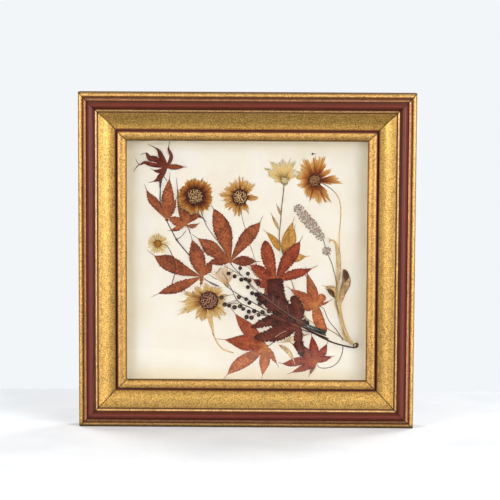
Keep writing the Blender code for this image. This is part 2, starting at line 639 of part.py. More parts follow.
def make_package(group, materials):
    """The pane, the strips behind it, the cream board and the backing board."""
    pane = (PANE_SIDE, PANE_SIDE)
    layers = (
        ("glass", GLASS_FRONT, GLASS_THICKNESS, materials["glass"]),
        ("mount_board", BOARD_FRONT, BOARD_THICKNESS, materials["cream"]),
        ("backing_board", BACKING_FRONT, BACKING_THICKNESS, materials["hardboard"]),
    )
    for name, front, thickness, material in layers:
        middle = (0.0, layer_y(front - thickness / 2), CENTRE_Z)
        make_box(name, (pane[0], thickness, pane[1]), middle, group, material)
    spacer_y = layer_y(SPACER_FRONT - SPACER_THICKNESS / 2)
    offset = (PANE_SIDE - SPACER_WIDTH) / 2
    between = PANE_SIDE - 2 * SPACER_WIDTH - 2 * GAP
    strips = (
        ("spacer_top", (PANE_SIDE, SPACER_WIDTH), (0.0, offset)),
        ("spacer_bottom", (PANE_SIDE, SPACER_WIDTH), (0.0, -offset)),
        ("spacer_left", (SPACER_WIDTH, between), (-offset, 0.0)),
        ("spacer_right", (SPACER_WIDTH, between), (offset, 0.0)),
    )
    for name, (wide, tall), (x, z) in strips:
        middle = (x, spacer_y, CENTRE_Z + z)
        make_box(name, (wide, SPACER_THICKNESS, tall), middle, group, materials["cream"])


# ---------------------------------------------------------------- the plants

LOBE_PARTS = (0.1, 0.24, 0.42, 0.6, 0.76, 0.88)     # where a lobe's edge has points


def smooth_way(points, steps):
    """A smooth curve through the points, with steps to each stretch."""
    padded = [points[0]] + list(points) + [points[-1]]
    way = []
    for start in range(len(points) - 1):
        a, b, c, d = (Vector(point) for point in padded[start:start + 4])
        for step in range(steps):
            t = step / steps
            way.append(0.5 * (2 * b + (c - a) * t + (2 * a - 5 * b + 4 * c - d) * t * t
                              + (3 * b - a - 3 * c + d) * t ** 3))
    way.append(Vector(points[-1]))
    return way


def way_at(way, part):
    """Point and direction at a part of a way."""
    place = part * (len(way) - 1)
    index = min(int(place), len(way) - 2)
    along = way[index + 1] - way[index]
    return way[index] + along * (place - index), along.normalized()


def half_width(shape, part):
    """Half of a lobe's width at a part of its length."""
    body_end = 1.0 if shape["rounded"] else 1.0 - DRAWN_TIP
    body = 0.0
    if part < body_end:
        power = math.log(0.5) / math.log(shape["belly"])
        roundness = ROUNDED_TIP if shape["rounded"] else 1.0
        body = shape["widest"] / 2 * math.sin(math.pi * (part / body_end) ** power) ** roundness
    return max(body, DRAWN_WIDTH / 2)


def lobe_outline(shape, start):
    """Out from the start along a lobe's right edge to the tip, and back on its left."""
    way = smooth_way([start] + shape["way"], 6)
    right = []
    left = []
    for part in LOBE_PARTS:
        place, along = way_at(way, part)
        side = Vector((-along.y, along.x)) * half_width(shape, part)
        right.append(place - side)
        left.append(place + side)
    return [Vector(start)] + right + [way[-1]] + left[::-1]


def make_leaf(name, leaf, group, material):
    """A palmate leaf: flat lobes and a small hub, fused with the stalk."""
    hub = leaf["hub"]
    pieces = [flat_curve(name + "_hub", [circle(*hub, HUB_RADIUS, 8)], LEAF_THICKNESS, group)]
    for shape in leaf["lobes"]:
        pieces.append(flat_curve(name + "_lobe", [lobe_outline(shape, hub)], LEAF_THICKNESS, group))
    radius, way = leaf["stalk"]
    pieces.append(tube_curve(name + "_stalk", [hub] + way, radius, group))
    return fuse(name, pieces, group, material)


def make_blade(name, shape, group, material):
    """A single leaf with no hub."""
    start = shape["way"][0]
    outline = lobe_outline({**shape, "way": shape["way"][1:]}, start)
    return fuse(name, [flat_curve(name + "_flat", [outline], LEAF_THICKNESS, group)], group, material)


def petal_reach(flower, turn):
    """How far a flower's petals reach from its middle in a direction, in degrees."""
    if "rays" in flower:
        count, reach = flower["rays"]
        ragged = 0.5 + 0.5 * math.cos(math.radians(turn) * count)
        return reach * (0.84 + 0.12 * ragged + 0.04 * math.sin(math.radians(turn) * 7))
    reach = flower["disc"] * 1.1
    for direction, length, spread in flower["petals"]:
        away = abs((turn - direction + 180) % 360 - 180) / spread
        if away < 1:
            reach = max(reach, length * math.cos(away * math.pi / 2) ** 0.28)
    return reach


def flower_outline(flower):
    """Round the flower, at the tip and the foot of each ray or every few degrees."""
    count = 2 * flower["rays"][0] if "rays" in flower else PETAL_POINTS
    x, z = flower["middle"]
    outline = []
    for index in range(count):
        turn = 360 * index / count
        reach = petal_reach(flower, turn)
        outline.append((x + reach * math.cos(math.radians(turn)), z + reach * math.sin(math.radians(turn))))
    return outline


def make_flower(name, flower, group, material):
    """Flat petals, a domed middle and the stem, grown together."""
    radius, way = flower["stem"]
    middle = flower["middle"]
    rise = min(DISC_RISE, flower["disc"] * 0.5) / 2
    disc = pill(name + "_disc", middle, flower["disc"], rise, group, ROUND_SIDES, rings=4)
    disc.location.y = -(rise - PETAL_THICKNESS / 2) * MM
    pieces = [
        flat_curve(name + "_petals", [flower_outline(flower)], PETAL_THICKNESS, group),
        disc,
        tube_curve(name + "_stem", [middle] + way, radius, group),
    ]
    return fuse(name, pieces, group, material)


def make_lavender(name, group, material):
    """A pressed spike that swells at each whorl, a loose whorl and the stem."""
    tip = Vector(LAVENDER_TIP)
    foot = Vector(LAVENDER_FOOT)
    stations = 2 * LAVENDER_WHORLS
    way = [tip.lerp(foot, index / stations) for index in range(stations + 1)]
    swell = []
    for index in range(stations + 1):
        part = index / stations
        body = 0.45 + 0.55 * math.sin(math.pi * min(1.0, part * 1.1 + 0.1)) ** 0.5
        swell.append(body * (1.0 if index % 2 else 0.72))
    swell[0] = 0.2
    spike = tube_curve(name + "_spike", way, LAVENDER_WIDTH / 2, group, sides_level=1, swell=swell)
    spike.scale.z = LAVENDER_RISE / (LAVENDER_WIDTH / 2)
    middle, radius = LAVENDER_WHORL
    pieces = [
        spike,
        pill(name + "_whorl", middle, radius, LAVENDER_RISE * 0.8, group, segments=8, rings=4),
        tube_curve(name + "_stem", [way[-2]] + LAVENDER_STEM, 0.4, group),
    ]
    return fuse(name, pieces, group, material)


def make_sprig(name, way, berries, group, material):
    """A stem with berries, each on a twig from the nearest point of the stem."""
    stem = smooth_way(way, 4)
    pieces = [tube_curve(name + "_stem", way, SPRIG_RADIUS, group)]
    for berry in berries:
        nearest = min(stem, key=lambda point: (point - Vector(berry)).length)
        if (nearest - Vector(berry)).length > 0.8 * BERRY:
            pieces.append(tube_curve(name + "_twig", [nearest, Vector(berry)], TWIG_RADIUS, group))
        pieces.append(pill(name + "_berry", berry, BERRY, BERRY_RISE, group))
    return fuse(name, pieces, group, material)


def make_fleck(name, group, material):
    """A loose dark seed with a short tail."""
    seed, tail = FLECK
    pieces = [
        pill(name + "_seed", seed, FLECK_RADIUS, FLECK_RADIUS * 0.6, group),
        tube_curve(name + "_tail", [seed, tail], 0.2, group),
    ]
    return fuse(name, pieces, group, material)


# ---------------------------------------------------------------- laying them down

def footprint(piece):
    """The piece's lowest and highest height over each cell of the board, in mm."""
    cells = int((OPENING + 2 * BED_MARGIN) / CELL)
    lowest = np.full((cells, cells), np.inf)
    highest = np.full((cells, cells), -np.inf)
    mesh = piece.data
    mesh.calc_loop_triangles()
    corners = np.array([vertex.co for vertex in mesh.vertices]) / MM
    for triangle in mesh.loop_triangles:
        a, b, c = corners[list(triangle.vertices)]
        longest = max(np.linalg.norm(b - a), np.linalg.norm(c - a), np.linalg.norm(c - b))
        count = int(longest / CELL * 2) + 2
        row, column = np.meshgrid(np.linspace(0, 1, count), np.linspace(0, 1, count))
        inside = row + column <= 1.0001
        u = row[inside][:, None]
        v = column[inside][:, None]
        samples = a + (b - a) * u + (c - a) * v
        place = ((samples[:, [0, 2]] + OPENING / 2 + BED_MARGIN) / CELL).astype(int)
        np.minimum.at(lowest, (place[:, 0], place[:, 1]), -samples[:, 1])
        np.maximum.at(highest, (place[:, 0], place[:, 1]), -samples[:, 1])
    return lowest, highest


def widen(heights, best):
    """Spread each cell's height to its neighbours, so that pieces keep clear."""
    wide = heights.copy()
    for down in (-1, 0, 1):
        for across in (-1, 0, 1):
            wide = best(wide, np.roll(heights, (down, across), (0, 1)))
    return wide


def lay_down(piece, pile):
    """Lower the piece until it rests on what lies there already, and add it to the pile."""
    lowest, highest = footprint(piece)
    lowest = widen(lowest, np.minimum)
    highest = widen(highest, np.maximum)
    covered = np.isfinite(lowest)
    rest = (pile[covered] - lowest[covered]).max() + GAP
    pile[covered] = np.maximum(pile[covered], highest[covered] + rest)
    piece.location.y = layer_y(BOARD_FRONT + rest) * MM
    piece.location.z = CENTRE_Z * MM
    return rest + highest[covered].max()


def make_plants(group, materials):
    """Make every specimen flat at the origin, then lay them down in their order."""
    plants = {}
    for name, leaf in LEAVES.items():
        plants[name] = make_leaf(name, leaf, group, materials[name])
    for name, shape in BLADES.items():
        plants[name] = make_blade(name, shape, group, materials[name])
    for name, flower in FLOWERS.items():
        plants[name] = make_flower(name, flower, group, materials[name])
    plants["lavender"] = make_lavender("lavender", group, materials["lavender"])
    for name, (way, berries) in SPRIGS.items():
        plants[name] = make_sprig(name, way, berries, group, materials["berry"])
    plants["seed_fleck"] = make_fleck("seed_fleck", group, materials["berry"])
    cells = int((OPENING + 2 * BED_MARGIN) / CELL)
    pile = np.zeros((cells, cells))
    for name in LAYING_ORDER:
        top = lay_down(plants[name], pile)
        room = GLASS_BACK - BOARD_FRONT - GAP - top
        print(f"{name}: {top:.2f} mm above the board, {room:.2f} mm of room below the glass")


# ---------------------------------------------------------------- colours

PLANT_COLOURS = {
    "leaf_curled_maroon": (106, 43, 34),
    "leaf_left_tall": (143, 74, 48),
    "leaf_left_small": (146, 78, 52),
    "leaf_left_broad": (146, 72, 46),
    "leaf_centre": (150, 73, 47),
    "leaf_brick_red": (154, 61, 40),
    "leaf_right": (180, 87, 47),
    "leaf_lower_small": (168, 73, 44),
    "leaf_lower_left": (184, 92, 50),
    "leaf_dark_purple": (66, 30, 38),
    "ochre_leaf_tall": (201, 146, 63),
    "ochre_leaf_broad": (208, 160, 78),
    "ochre_leaf_left": (201, 146, 63),
    "ochre_leaf_right": (208, 160, 78),
    "tan_leaf_curled": (205, 165, 100),
    "brown_leaf_curled": (140, 96, 56),
    "brown_leaf_cupped": (165, 122, 68),
    "grass_blade": (216, 200, 160),
    "grass_blade_twisted": (216, 192, 140),
    "flower_rust": (178, 108, 48),
    "flower_yellow": (217, 162, 74),
    "flower_orange": (192, 117, 38),
    "flower_straw": (230, 207, 148),
    "flower_small_yellow": (232, 205, 131),
    "flower_tan": (223, 174, 88),
    "petal_fan": (236, 208, 168),
    "lavender": (150, 136, 130),
    "berry": (58, 26, 20),
}


def main():
    clear_scene()
    frame = new_collection("pressed_flower_frame")
    cutters = new_collection("cutters")
    materials = {
        "gilt": new_material("gilt_moulding", (190, 145, 75), 0.4, metallic=0.7),
        "glass": new_material("clear_glass", (255, 255, 255), 0.02, transmission=1.0),
        "cream": new_material("cream_board", (240, 232, 214), 0.9),
        "hardboard": new_material("brown_hardboard", (128, 92, 60), 0.8),
        "steel": new_material("tinned_steel", (150, 150, 148), 0.35, metallic=1.0),
        "brass": new_material("brassed_steel", (190, 160, 95), 0.35, metallic=1.0),
    }
    make_rails(frame, cutters, materials["gilt"])
    make_package(frame, materials)
    make_points(frame, materials["steel"])
    make_hanger(frame, materials["brass"])
    plant_materials = {name: new_material(name, colour, 0.75) for name, colour in PLANT_COLOURS.items()}
    make_plants(frame, plant_materials)


main()
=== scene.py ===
# %% [markdown]
# # A pressed flower frame
# A small square gilt frame holds maple leaves, daisy-like flowers, a lavender spike and berry
# sprigs, all pressed flat and laid on cream card under glass. The frame comes ready-made from
# its solid model. This lesson dresses it: it sweeps a fine moulding, grows thin leaves with
# saw-toothed edges, drapes every specimen over the ones under it, and gives each its finish.

# %% Load the solid frame
import math

import bpy
import numpy as np
from mathutils import Matrix, Vector
from mathutils.geometry import delaunay_2d_cdt


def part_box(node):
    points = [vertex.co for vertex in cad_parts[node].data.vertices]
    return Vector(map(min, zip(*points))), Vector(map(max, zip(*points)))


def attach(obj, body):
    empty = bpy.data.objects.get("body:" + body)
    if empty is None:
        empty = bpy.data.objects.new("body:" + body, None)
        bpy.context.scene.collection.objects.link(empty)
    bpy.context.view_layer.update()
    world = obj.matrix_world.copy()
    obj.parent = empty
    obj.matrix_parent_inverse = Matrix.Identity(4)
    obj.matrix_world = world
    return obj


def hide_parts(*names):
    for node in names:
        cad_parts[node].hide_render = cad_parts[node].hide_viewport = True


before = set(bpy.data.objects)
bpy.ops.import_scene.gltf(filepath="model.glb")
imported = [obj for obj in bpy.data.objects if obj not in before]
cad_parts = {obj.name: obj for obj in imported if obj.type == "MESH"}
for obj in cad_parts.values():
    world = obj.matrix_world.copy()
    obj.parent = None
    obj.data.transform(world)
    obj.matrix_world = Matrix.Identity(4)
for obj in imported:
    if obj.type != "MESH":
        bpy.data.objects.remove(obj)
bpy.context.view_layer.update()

# %% [markdown]
# ## Where things lie
# All specimens lie on the mount board, so it makes a good drawing plane: x to the right, z up
# from the middle of the opening, and a height above the board towards the glass, all in
# millimetres. Only the last step turns these into metres in the model's frame, where the front
# faces -Y. The plane's place is read from the solid model, so nothing is fitted by eye.

# %% Put things in the scene
def put(name, data):
    """A new object of some data, linked to the scene."""
    thing = bpy.data.objects.new(name, data)
    bpy.context.scene.collection.objects.link(thing)
    return thing


def carry(mesh, **traits):
    """Give each point of a mesh the numbers that it carries, under their names."""
    for label, values in traits.items():
        layer = mesh.attributes.new(label, "FLOAT", "POINT")
        layer.data.foreach_set("value", np.asarray(values, dtype=float))


# %% The drawing plane
MM = 0.001
board_low, board_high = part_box("mount_board")
glass_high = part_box("glass")[1]
rail_low, rail_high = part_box("rail_bottom")
BOARD_Y = board_low.y
CENTRE_Z = (board_low.z + board_high.z) / 2
ROOM = (BOARD_Y - glass_high.y) / MM
MITRE_GAP = 0.3         # between two rails at a mitre, in mm
OUTER = (rail_high.x - rail_low.x) / MM + MITRE_GAP
OPENING = 217.6
print(f"outer side {OUTER:.1f} mm, {ROOM:.2f} mm between the board and the glass")

# %% [markdown]
# ## Camera and light
# The photograph looks at the frame from 6 degrees above and almost straight on, with a long
# lens. Two bright windows' worth of light come from the left and the right, a little above the
# frame, and make the hollows of the side rails shine. The left one is smaller, so the lip's
# shadow shows on the board beside the left rail. Weaker lights above and behind soften the
# contact shadow. The surround is dim, because a pane mirrors whatever is bright in front of it,
# but it looks nearly white behind the frame: whether the camera sees it directly mixes the two.

# %% The camera
def look_at(place, target, roll=0.0):
    """Matrix of a camera or light at a place, with its -Z axis towards the target."""
    back = (place - target).normalized()
    right = Vector((0, 0, 1)).cross(back).normalized()
    up = back.cross(right)
    turned = right * math.cos(roll) + up * math.sin(roll)
    upright = up * math.cos(roll) - right * math.sin(roll)
    turn = Matrix((turned, upright, back)).transposed().to_4x4()
    return Matrix.Translation(place) @ turn


DISTANCE = 1.85
RISE = math.radians(6.20)
SWING = math.radians(0.457)
ROLL = math.radians(0.281)
LENS_MM = 146.7
TARGET = Vector((0.0029, 0.0, 0.1623))
towards = Vector((math.sin(SWING) * math.cos(RISE), -math.cos(SWING) * math.cos(RISE), math.sin(RISE)))
camera = put("camera", bpy.data.cameras.new("camera"))
camera.data.sensor_width = 36.0
camera.data.lens = LENS_MM
camera.matrix_world = look_at(TARGET + towards * DISTANCE, TARGET, ROLL)
bpy.context.scene.camera = camera
print(f"camera {DISTANCE} m away with a {LENS_MM:.0f} mm lens")

# %% One node-adding function, and colours from sRGB
def linear(code):
    """A colour's sRGB hex code as linear red, green, blue and alpha."""
    channels = [int(code[place:place + 2], 16) / 255 for place in (1, 3, 5)]
    return tuple(c / 12.92 if c <= 0.04045 else ((c + 0.055) / 1.055) ** 2.4 for c in channels) + (1.0,)


def feed(node, inputs):
    """Set a node's inputs, by name or in order: a node or its socket as a link, the rest as values."""
    if isinstance(inputs, list):
        inputs = dict(enumerate(inputs))
    for name, value in inputs.items():
        if isinstance(value, bpy.types.Node):
            value = next(socket for socket in value.outputs if socket.enabled)
        if isinstance(value, bpy.types.NodeSocket):
            node.id_data.links.new(value, node.inputs[name])
        else:
            node.inputs[name].default_value = value


def add(tree, kind, inputs=(), settings=None):
    """A node of any kind with its inputs and its settings, or just its operation, data type or name."""
    families = ("ShaderNode", "GeometryNode", "FunctionNode", "")
    node = tree.nodes.new(next(family + kind for family in families if hasattr(bpy.types, family + kind)))
    if isinstance(settings, str):
        only = ("operation", "data_type", "attribute_name", "uv_map")
        settings = {next(label for label in only if hasattr(node, label)): settings}
    for label, value in (settings or {}).items():
        setattr(node, label, value)
    feed(node, inputs or {})
    return node


# %% The surround and the lights
world = bpy.data.worlds.new("pale_room")
world.use_nodes = True
world.node_tree.nodes.clear()
soft = add(world.node_tree, "Background", {"Color": linear("#e6ecf2"), "Strength": 0.1})
seen = add(world.node_tree, "Background", {"Color": linear("#f3f6f9"), "Strength": 1.0})
path = add(world.node_tree, "LightPath")
both = add(world.node_tree, "MixShader", [path.outputs["Is Camera Ray"], soft, seen])
add(world.node_tree, "OutputWorld", {"Surface": both})
bpy.context.scene.world = world
bpy.context.scene.view_settings.view_transform = "Standard"

LIT_SPOT = Vector((0.0, 0.0, 0.15))     # the middle of the frame
LIGHTS = (      # name, degrees round from the front, degrees up, distance and size in metres, watts
    ("key_left", -45, 13, 1.9, 0.5, 23.0),
    ("fill_left", -45, 16, 1.9, 1.6, 15.0),
    ("fill_right", 45, 16, 1.9, 1.6, 39.5),
    ("side_right", 62, 16, 1.9, 1.4, 12.5),
    ("back_left", -130, 45, 1.9, 1.0, 15.0),
    ("back_right", 130, 45, 1.9, 1.0, 18.0),
)
for name, round_by, up_by, away, size, watts in LIGHTS:
    round_by, up_by = math.radians(round_by), math.radians(up_by)
    place = Vector((math.sin(round_by) * math.cos(up_by), -math.cos(round_by) * math.cos(up_by),
                    math.sin(up_by)))
    lamp = bpy.data.lights.new(name, "AREA")
    lamp.shape = "DISK"
    lamp.size = size
    lamp.energy = watts
    put(name, lamp).matrix_world = look_at(place * away + LIT_SPOT, LIT_SPOT)
print(f"{len(LIGHTS)} soft lights")

# %% [markdown]
# ## Starting a finish
# Every material here is one Principled shader with a few textures before it. A helper opens the
# material and hands back its tree and shader, and another sets a colour ramp's stops, so each
# finish below reads as its colours, its real sizes and its roughness.

# %% Open a finish, set a ramp
def new_finish(name):
    """An empty material with a Principled shader: the material, its tree and the shader."""
    material = bpy.data.materials.new(name)
    material.use_nodes = True
    tree = material.node_tree
    tree.nodes.clear()
    shader = add(tree, "BsdfPrincipled")
    add(tree, "OutputMaterial", {"Surface": shader})
    return material, tree, shader


def set_stops(ramp, stops):
    """A colour ramp with its stops set: (position, sRGB hex) pairs in order."""
    elements = ramp.color_ramp.elements
    while len(elements) > 1:
        elements.remove(elements[-1])
    elements[0].position, elements[0].color = stops[0][0], linear(stops[0][1])
    for position, code in stops[1:]:
        elements.new(position).color = linear(code)
    return ramp


def texture(tree, kind, size_mm, inputs=None):
    """A texture of any kind, in Object coordinates, whose cells have a real size in millimetres."""
    scale = 1.0 / (size_mm * MM)
    place = add(tree, "Mapping", {"Vector": add(tree, "TexCoord").outputs["Object"], "Scale": (scale,) * 3})
    return add(tree, kind, {"Vector": place, "Scale": 1.0, **(inputs or {})})


# %% [markdown]
# ## The floor
# A pale painted table top: off-white, faintly mottled, with a few dust specks. It is stage, not
# part of the object, and ends a little behind the frame as the table in the photograph does. It
# throws soft light onto the frame, but the pane and the gilding don't mirror it, because in the
# photograph the room in front of the table is darker than the table. So it also ends half a
# metre in front, before the part of it that the pane would mirror.

# %% Pale painted floor
floor_finish, tree, shader = new_finish("pale_painted_floor")
cloud = texture(tree, "TexNoise", 60, {"Detail": 4.0})
speck = texture(tree, "TexVoronoi", 24)
dots = add(tree, "MapRange", [speck.outputs["Distance"], 0.02, 0.05])
tone = set_stops(add(tree, "ValToRGB", [cloud]), [(0.3, "#e6e9ec"), (0.7, "#eff1f3")])
spots = add(tree, "Mix", {0: dots, 6: linear("#c9c9c6"), 7: tone}, "RGBA")
feed(shader, {"Base Color": spots, "Roughness": 0.7})

FLOOR_SIDE, FLOOR_FRONT, FLOOR_BACK = 2.5, -0.45, 0.187     # in metres
floor_mesh = bpy.data.meshes.new("floor")
corners = [(-1, FLOOR_FRONT), (1, FLOOR_FRONT), (1, FLOOR_BACK), (-1, FLOOR_BACK)]
floor_mesh.from_pydata([(side * FLOOR_SIDE, y, 0) for side, y in corners], [], [(0, 1, 2, 3)])
floor_mesh.materials.append(floor_finish)
floor = put("floor", floor_mesh)
floor.visible_glossy = False
print("floor laid")

# %% [markdown]
# ## The gilt moulding
# A framer's moulding is a stick of wood run through a shaper, coated with red-brown paint (bole)
# and then with bronze-gold paint on the beads, the hollow and the lip. The hump and two grooves
# stay maroon. The section follows one rule along the whole stick, so it is swept: the section's
# points are placed at many stations from one mitre to the other, and each station is moved a few
# hundredths of a millimetre, because a hand-finished stick is never dead straight and its
# reflections waver. The faces keep the place across the section in their UV map, in metres, and
# the finish reads its bands from that.

# %% The section of the moulding
BACK_Y = rail_high.y
RAIL_WIDTH = 43.7
SIDE_HEIGHT = 18.2
REBATE = (37.7, 16.3)       # inner wall and depth of the rebate, from the outer edge and the back
STATIONS = 130
ALL_ROUND = 67.0        # place across in mm where the section closes


def bead(start, end, rise, steps):
    """A rounded strip of the section from start to end; a negative rise hollows it."""
    parts = [step / steps for step in range(steps + 1)]
    return [(start[0] + (end[0] - start[0]) * part,
             start[1] + (end[1] - start[1]) * part + rise * math.sin(math.pi * part)) for part in parts]


def moulding_section():
    """The section as (distance from the outer edge, height above the back, place across)."""
    front = [(2.6 - 2.6 * math.cos(turn), 18.2 + 4.3 * math.sin(turn))
             for turn in np.linspace(0, math.pi / 2, 9)]
    front += [(3.6, 22.45), (4.2, 22.2), (4.45, 21.85), (4.7, 21.85)]
    front += bead((4.9, 22.6), (7.6, 25.9), 1.0, 10)
    front += [(7.8, 25.35), (8.0, 25.35)]
    front += bead((8.2, 26.3), (15.2, 26.7), 3.3, 22)
    front += [(15.4, 25.65), (15.7, 25.65), (16.0, 25.95), (16.8, 25.8), (17.5, 25.3), (17.7, 24.5),
              (18.3, 24.35)]
    front += bead((18.7, 24.6), (33.5, 17.3), -2.2, 26)
    front += [(33.8, 16.4), (34.7, 16.25), (35.3, 16.2)]
    front += bead((35.6, 19.6), (42.6, 19.0), 0.8, 16)
    front += [(43.1, 18.35), (43.5, 17.9), (RAIL_WIDTH, 17.5)]
    section = [(REBATE[0], 0.0, -SIDE_HEIGHT - REBATE[0]), (19.0, 0.0, -SIDE_HEIGHT - 19.0),
               (0.4, 0.0, -SIDE_HEIGHT - 0.4), (0.0, 0.4, -SIDE_HEIGHT + 0.4), (0.0, 10.0, -8.2)]
    section += [(width, height, width) for width, height in front]
    section += [(RAIL_WIDTH, REBATE[1], 44.9), (REBATE[0], REBATE[1], 50.9), (REBATE[0], 8.0, 59.2)]
    return section


section = moulding_section()
print(f"{len(section)} points round the section")

# %% Sweep a rail
def waver(along, across, seed):
    """A slow, small unevenness in millimetres along a hand-finished stick."""
    return (0.035 * math.sin(along / 17.0 + seed * 2.1 + across / 9.0)
            + 0.022 * math.sin(along / 6.3 + seed * 5.3 - across / 4.0))


def sweep_rail(name, turn):
    """One rail: the section swept from mitre to mitre, then turned about the frame's middle."""
    points, uvs = [], []
    for station in range(STATIONS + 1):
        t = 2 * station / STATIONS - 1
        for width, height, across in section:
            along = t * (OUTER / 2 - width - MITRE_GAP / 2)
            lift = waver(along, width, turn) if 0 < width < RAIL_WIDTH and height > REBATE[1] else 0.0
            points.append((along, BACK_Y / MM - height - lift, width - OUTER / 2))
            uvs.append((along, across))
    count = len(section)
    faces = [tuple(range(count)), tuple(range(STATIONS * count, (STATIONS + 1) * count))[::-1]]
    for station in range(STATIONS):
        for index in range(count):
            after = (index + 1) % count
            a, b = station * count, (station + 1) * count
            faces.append((a + index, b + index, b + after, a + after))
    mesh = bpy.data.meshes.new(name)
    angle = turn * math.pi / 2
    turned = [((x * math.cos(angle) + z * math.sin(angle)) * MM, y * MM,
               (z * math.cos(angle) - x * math.sin(angle)) * MM + CENTRE_Z) for x, y, z in points]
    mesh.from_pydata(turned, [], faces)
    mesh.uv_layers.new(name="UVMap")
    mesh.uv_layers.new(name="mitre")
    layer, joint = mesh.uv_layers["UVMap"], mesh.uv_layers["mitre"]
    for polygon in mesh.polygons:
        last = max(mesh.loops[loop].vertex_index % count for loop in polygon.loop_indices) == count - 1
        for loop in polygon.loop_indices:
            vertex = mesh.loops[loop].vertex_index
            along, across = uvs[vertex]
            if last and vertex % count == 0 and len(polygon.vertices) == 4:
                across = ALL_ROUND
            layer.data[loop].uv = ((along + 400 * turn) * MM, across * MM)
            gap = OUTER / 2 - section[vertex % count][0] - abs(along)
            joint.data[loop].uv = (gap * MM, across * MM)
    mesh.shade_smooth()
    mesh.set_sharp_from_angle(angle=math.radians(38))
    return put(name, mesh)


# %% [markdown]
# The finish is bronze-gold paint over red bole: real gold paint holds flakes of bronze, so it is
# almost a metal, glints in grains of about a millimetre, and is rough enough to blur every
# reflection. Where beads meet, the bole shows as a thin brown line, and handling has rubbed
# small spots down to it. The maroon is the bole under a thin varnish, so it is a smooth paint
# with a soft gloss. One ramp, read across the section, gives each band its colour.

# %% Gilt over red bole
RAMP_FROM, RAMP_TO = -24.0, 48.0
# the band colours also carry painted light: a painted highlight along the rose bead's crest, a hollow painted
# lighter in its outer half and darker inwards, and painted shade darkening the lip to its inner edge
BANDS = [       # place across the section in mm, sRGB colour
    (-19.0, "#6b4a22"), (-17.6, "#7b5528"), (-1.2, "#9a7238"), (0.2, "#d2a662"), (3.0, "#d2a662"),
    (4.1, "#84522a"), (4.5, "#3a1a0c"), (5.0, "#94603f"), (6.0, "#d89e78"), (7.1, "#a9714b"),
    (7.75, "#371309"), (8.5, "#4c170c"), (10.4, "#5f2416"), (13.2, "#561d10"), (14.8, "#3e1307"),
    (15.7, "#5a2c12"), (16.3, "#dab07a"), (17.0, "#bf9456"), (17.6, "#3f1c09"), (18.3, "#4d260e"),
    (19.1, "#caa35c"), (23.5, "#caa25a"), (27.5, "#b8924c"), (32.2, "#ae8746"), (33.2, "#7c4820"),
    (33.9, "#3c1509"), (35.2, "#481a0e"), (35.9, "#7c4820"), (36.7, "#c49a5a"), (41.6, "#bc9250"),
    (42.8, "#9a6c34"), (43.6, "#472812"),
]
GILDED = [(-19.6, 0), (-18.6, 1), (4.2, 1), (4.5, 0), (4.9, 0), (5.2, 1), (7.3, 1), (7.8, 0), (15.8, 0),
          (16.1, 1), (17.1, 1), (17.5, 0), (18.5, 0), (18.9, 1), (32.8, 1), (33.5, 0), (35.6, 0), (36.0, 1),
          (43.2, 1), (43.7, 0)]


def ramp_place(across_mm):
    """Where a place across the section falls on the ramp."""
    return (across_mm - RAMP_FROM) / (RAMP_TO - RAMP_FROM)


gilt, tree, shader = new_finish("bronze_gold_over_red_bole")
uv = add(tree, "UVMap", settings="UVMap")
split = add(tree, "SeparateXYZ", [uv])
edge_noise = texture(tree, "TexNoise", 2.4, {"Detail": 3.0})
across = add(tree, "Math", [split.outputs[1], 1000.0, -0.25], "MULTIPLY_ADD")
ragged = add(tree, "Math", [edge_noise, 0.5, across], "MULTIPLY_ADD")
place = add(tree, "MapRange", [ragged, RAMP_FROM, RAMP_TO])
bands = set_stops(add(tree, "ValToRGB", [place]),
                  [(ramp_place(across_mm), code) for across_mm, code in BANDS])
gilded = set_stops(add(tree, "ValToRGB", [place]),
                   [(ramp_place(across_mm), ("#000000", "#ffffff")[is_gold])
                    for across_mm, is_gold in GILDED])

# flakes of bronze: small cells, each lighter or darker than the paint round it
flakes = texture(tree, "TexVoronoi", 0.6)
flake_tone = add(tree, "SeparateXYZ", [flakes.outputs["Color"]])
cloud = texture(tree, "TexNoise", 9.0, {"Detail": 5.0})
glint = add(tree, "MapRange", [flake_tone, 0.0, 1.0, 0.4, 1.6])
patchy = add(tree, "MapRange", [cloud, 0.3, 0.7, 0.93, 1.07])
grain = add(tree, "Math", [glint, patchy], "MULTIPLY")
only_gold = add(tree, "Mix", {0: gilded, 2: patchy, 3: grain}, "FLOAT")
grained = add(tree, "VectorMath", {0: bands, "Scale": only_gold}, "SCALE")

# the joint of a mitre: the second UV map holds how far each point is from it
mitre_uv = add(tree, "UVMap", settings="mitre")
mitre_gap = add(tree, "SeparateXYZ", [mitre_uv])
mitre_line = add(tree, "MapRange", [mitre_gap, 0.0003, 0.0009, 0.85, 0.0])
joined = add(tree, "Mix", {0: mitre_line, 6: grained, 7: linear("#2b1208")}, "RGBA")

# rubbed spots, down to the bole, and small dark fly specks
rubbed = texture(tree, "TexNoise", 1.7, {"Detail": 4.0})
rub = add(tree, "MapRange", [rubbed, 0.66, 0.72, 0.0, 0.75])
worn = add(tree, "Mix", {0: rub, 6: joined, 7: linear("#6e3a1c")}, "RGBA")
fly = texture(tree, "TexVoronoi", 7.0)
fly_pick = add(tree, "SeparateXYZ", [fly.outputs["Color"]])
fly_size = add(tree, "MapRange", [fly_pick, 0.55, 1.0, 0.0, 0.085])
fly_spot = add(tree, "Math", [fly.outputs["Distance"], fly_size], "LESS_THAN")
specked = add(tree, "Mix", {0: fly_spot, 6: worn, 7: linear("#3b2413")}, "RGBA")
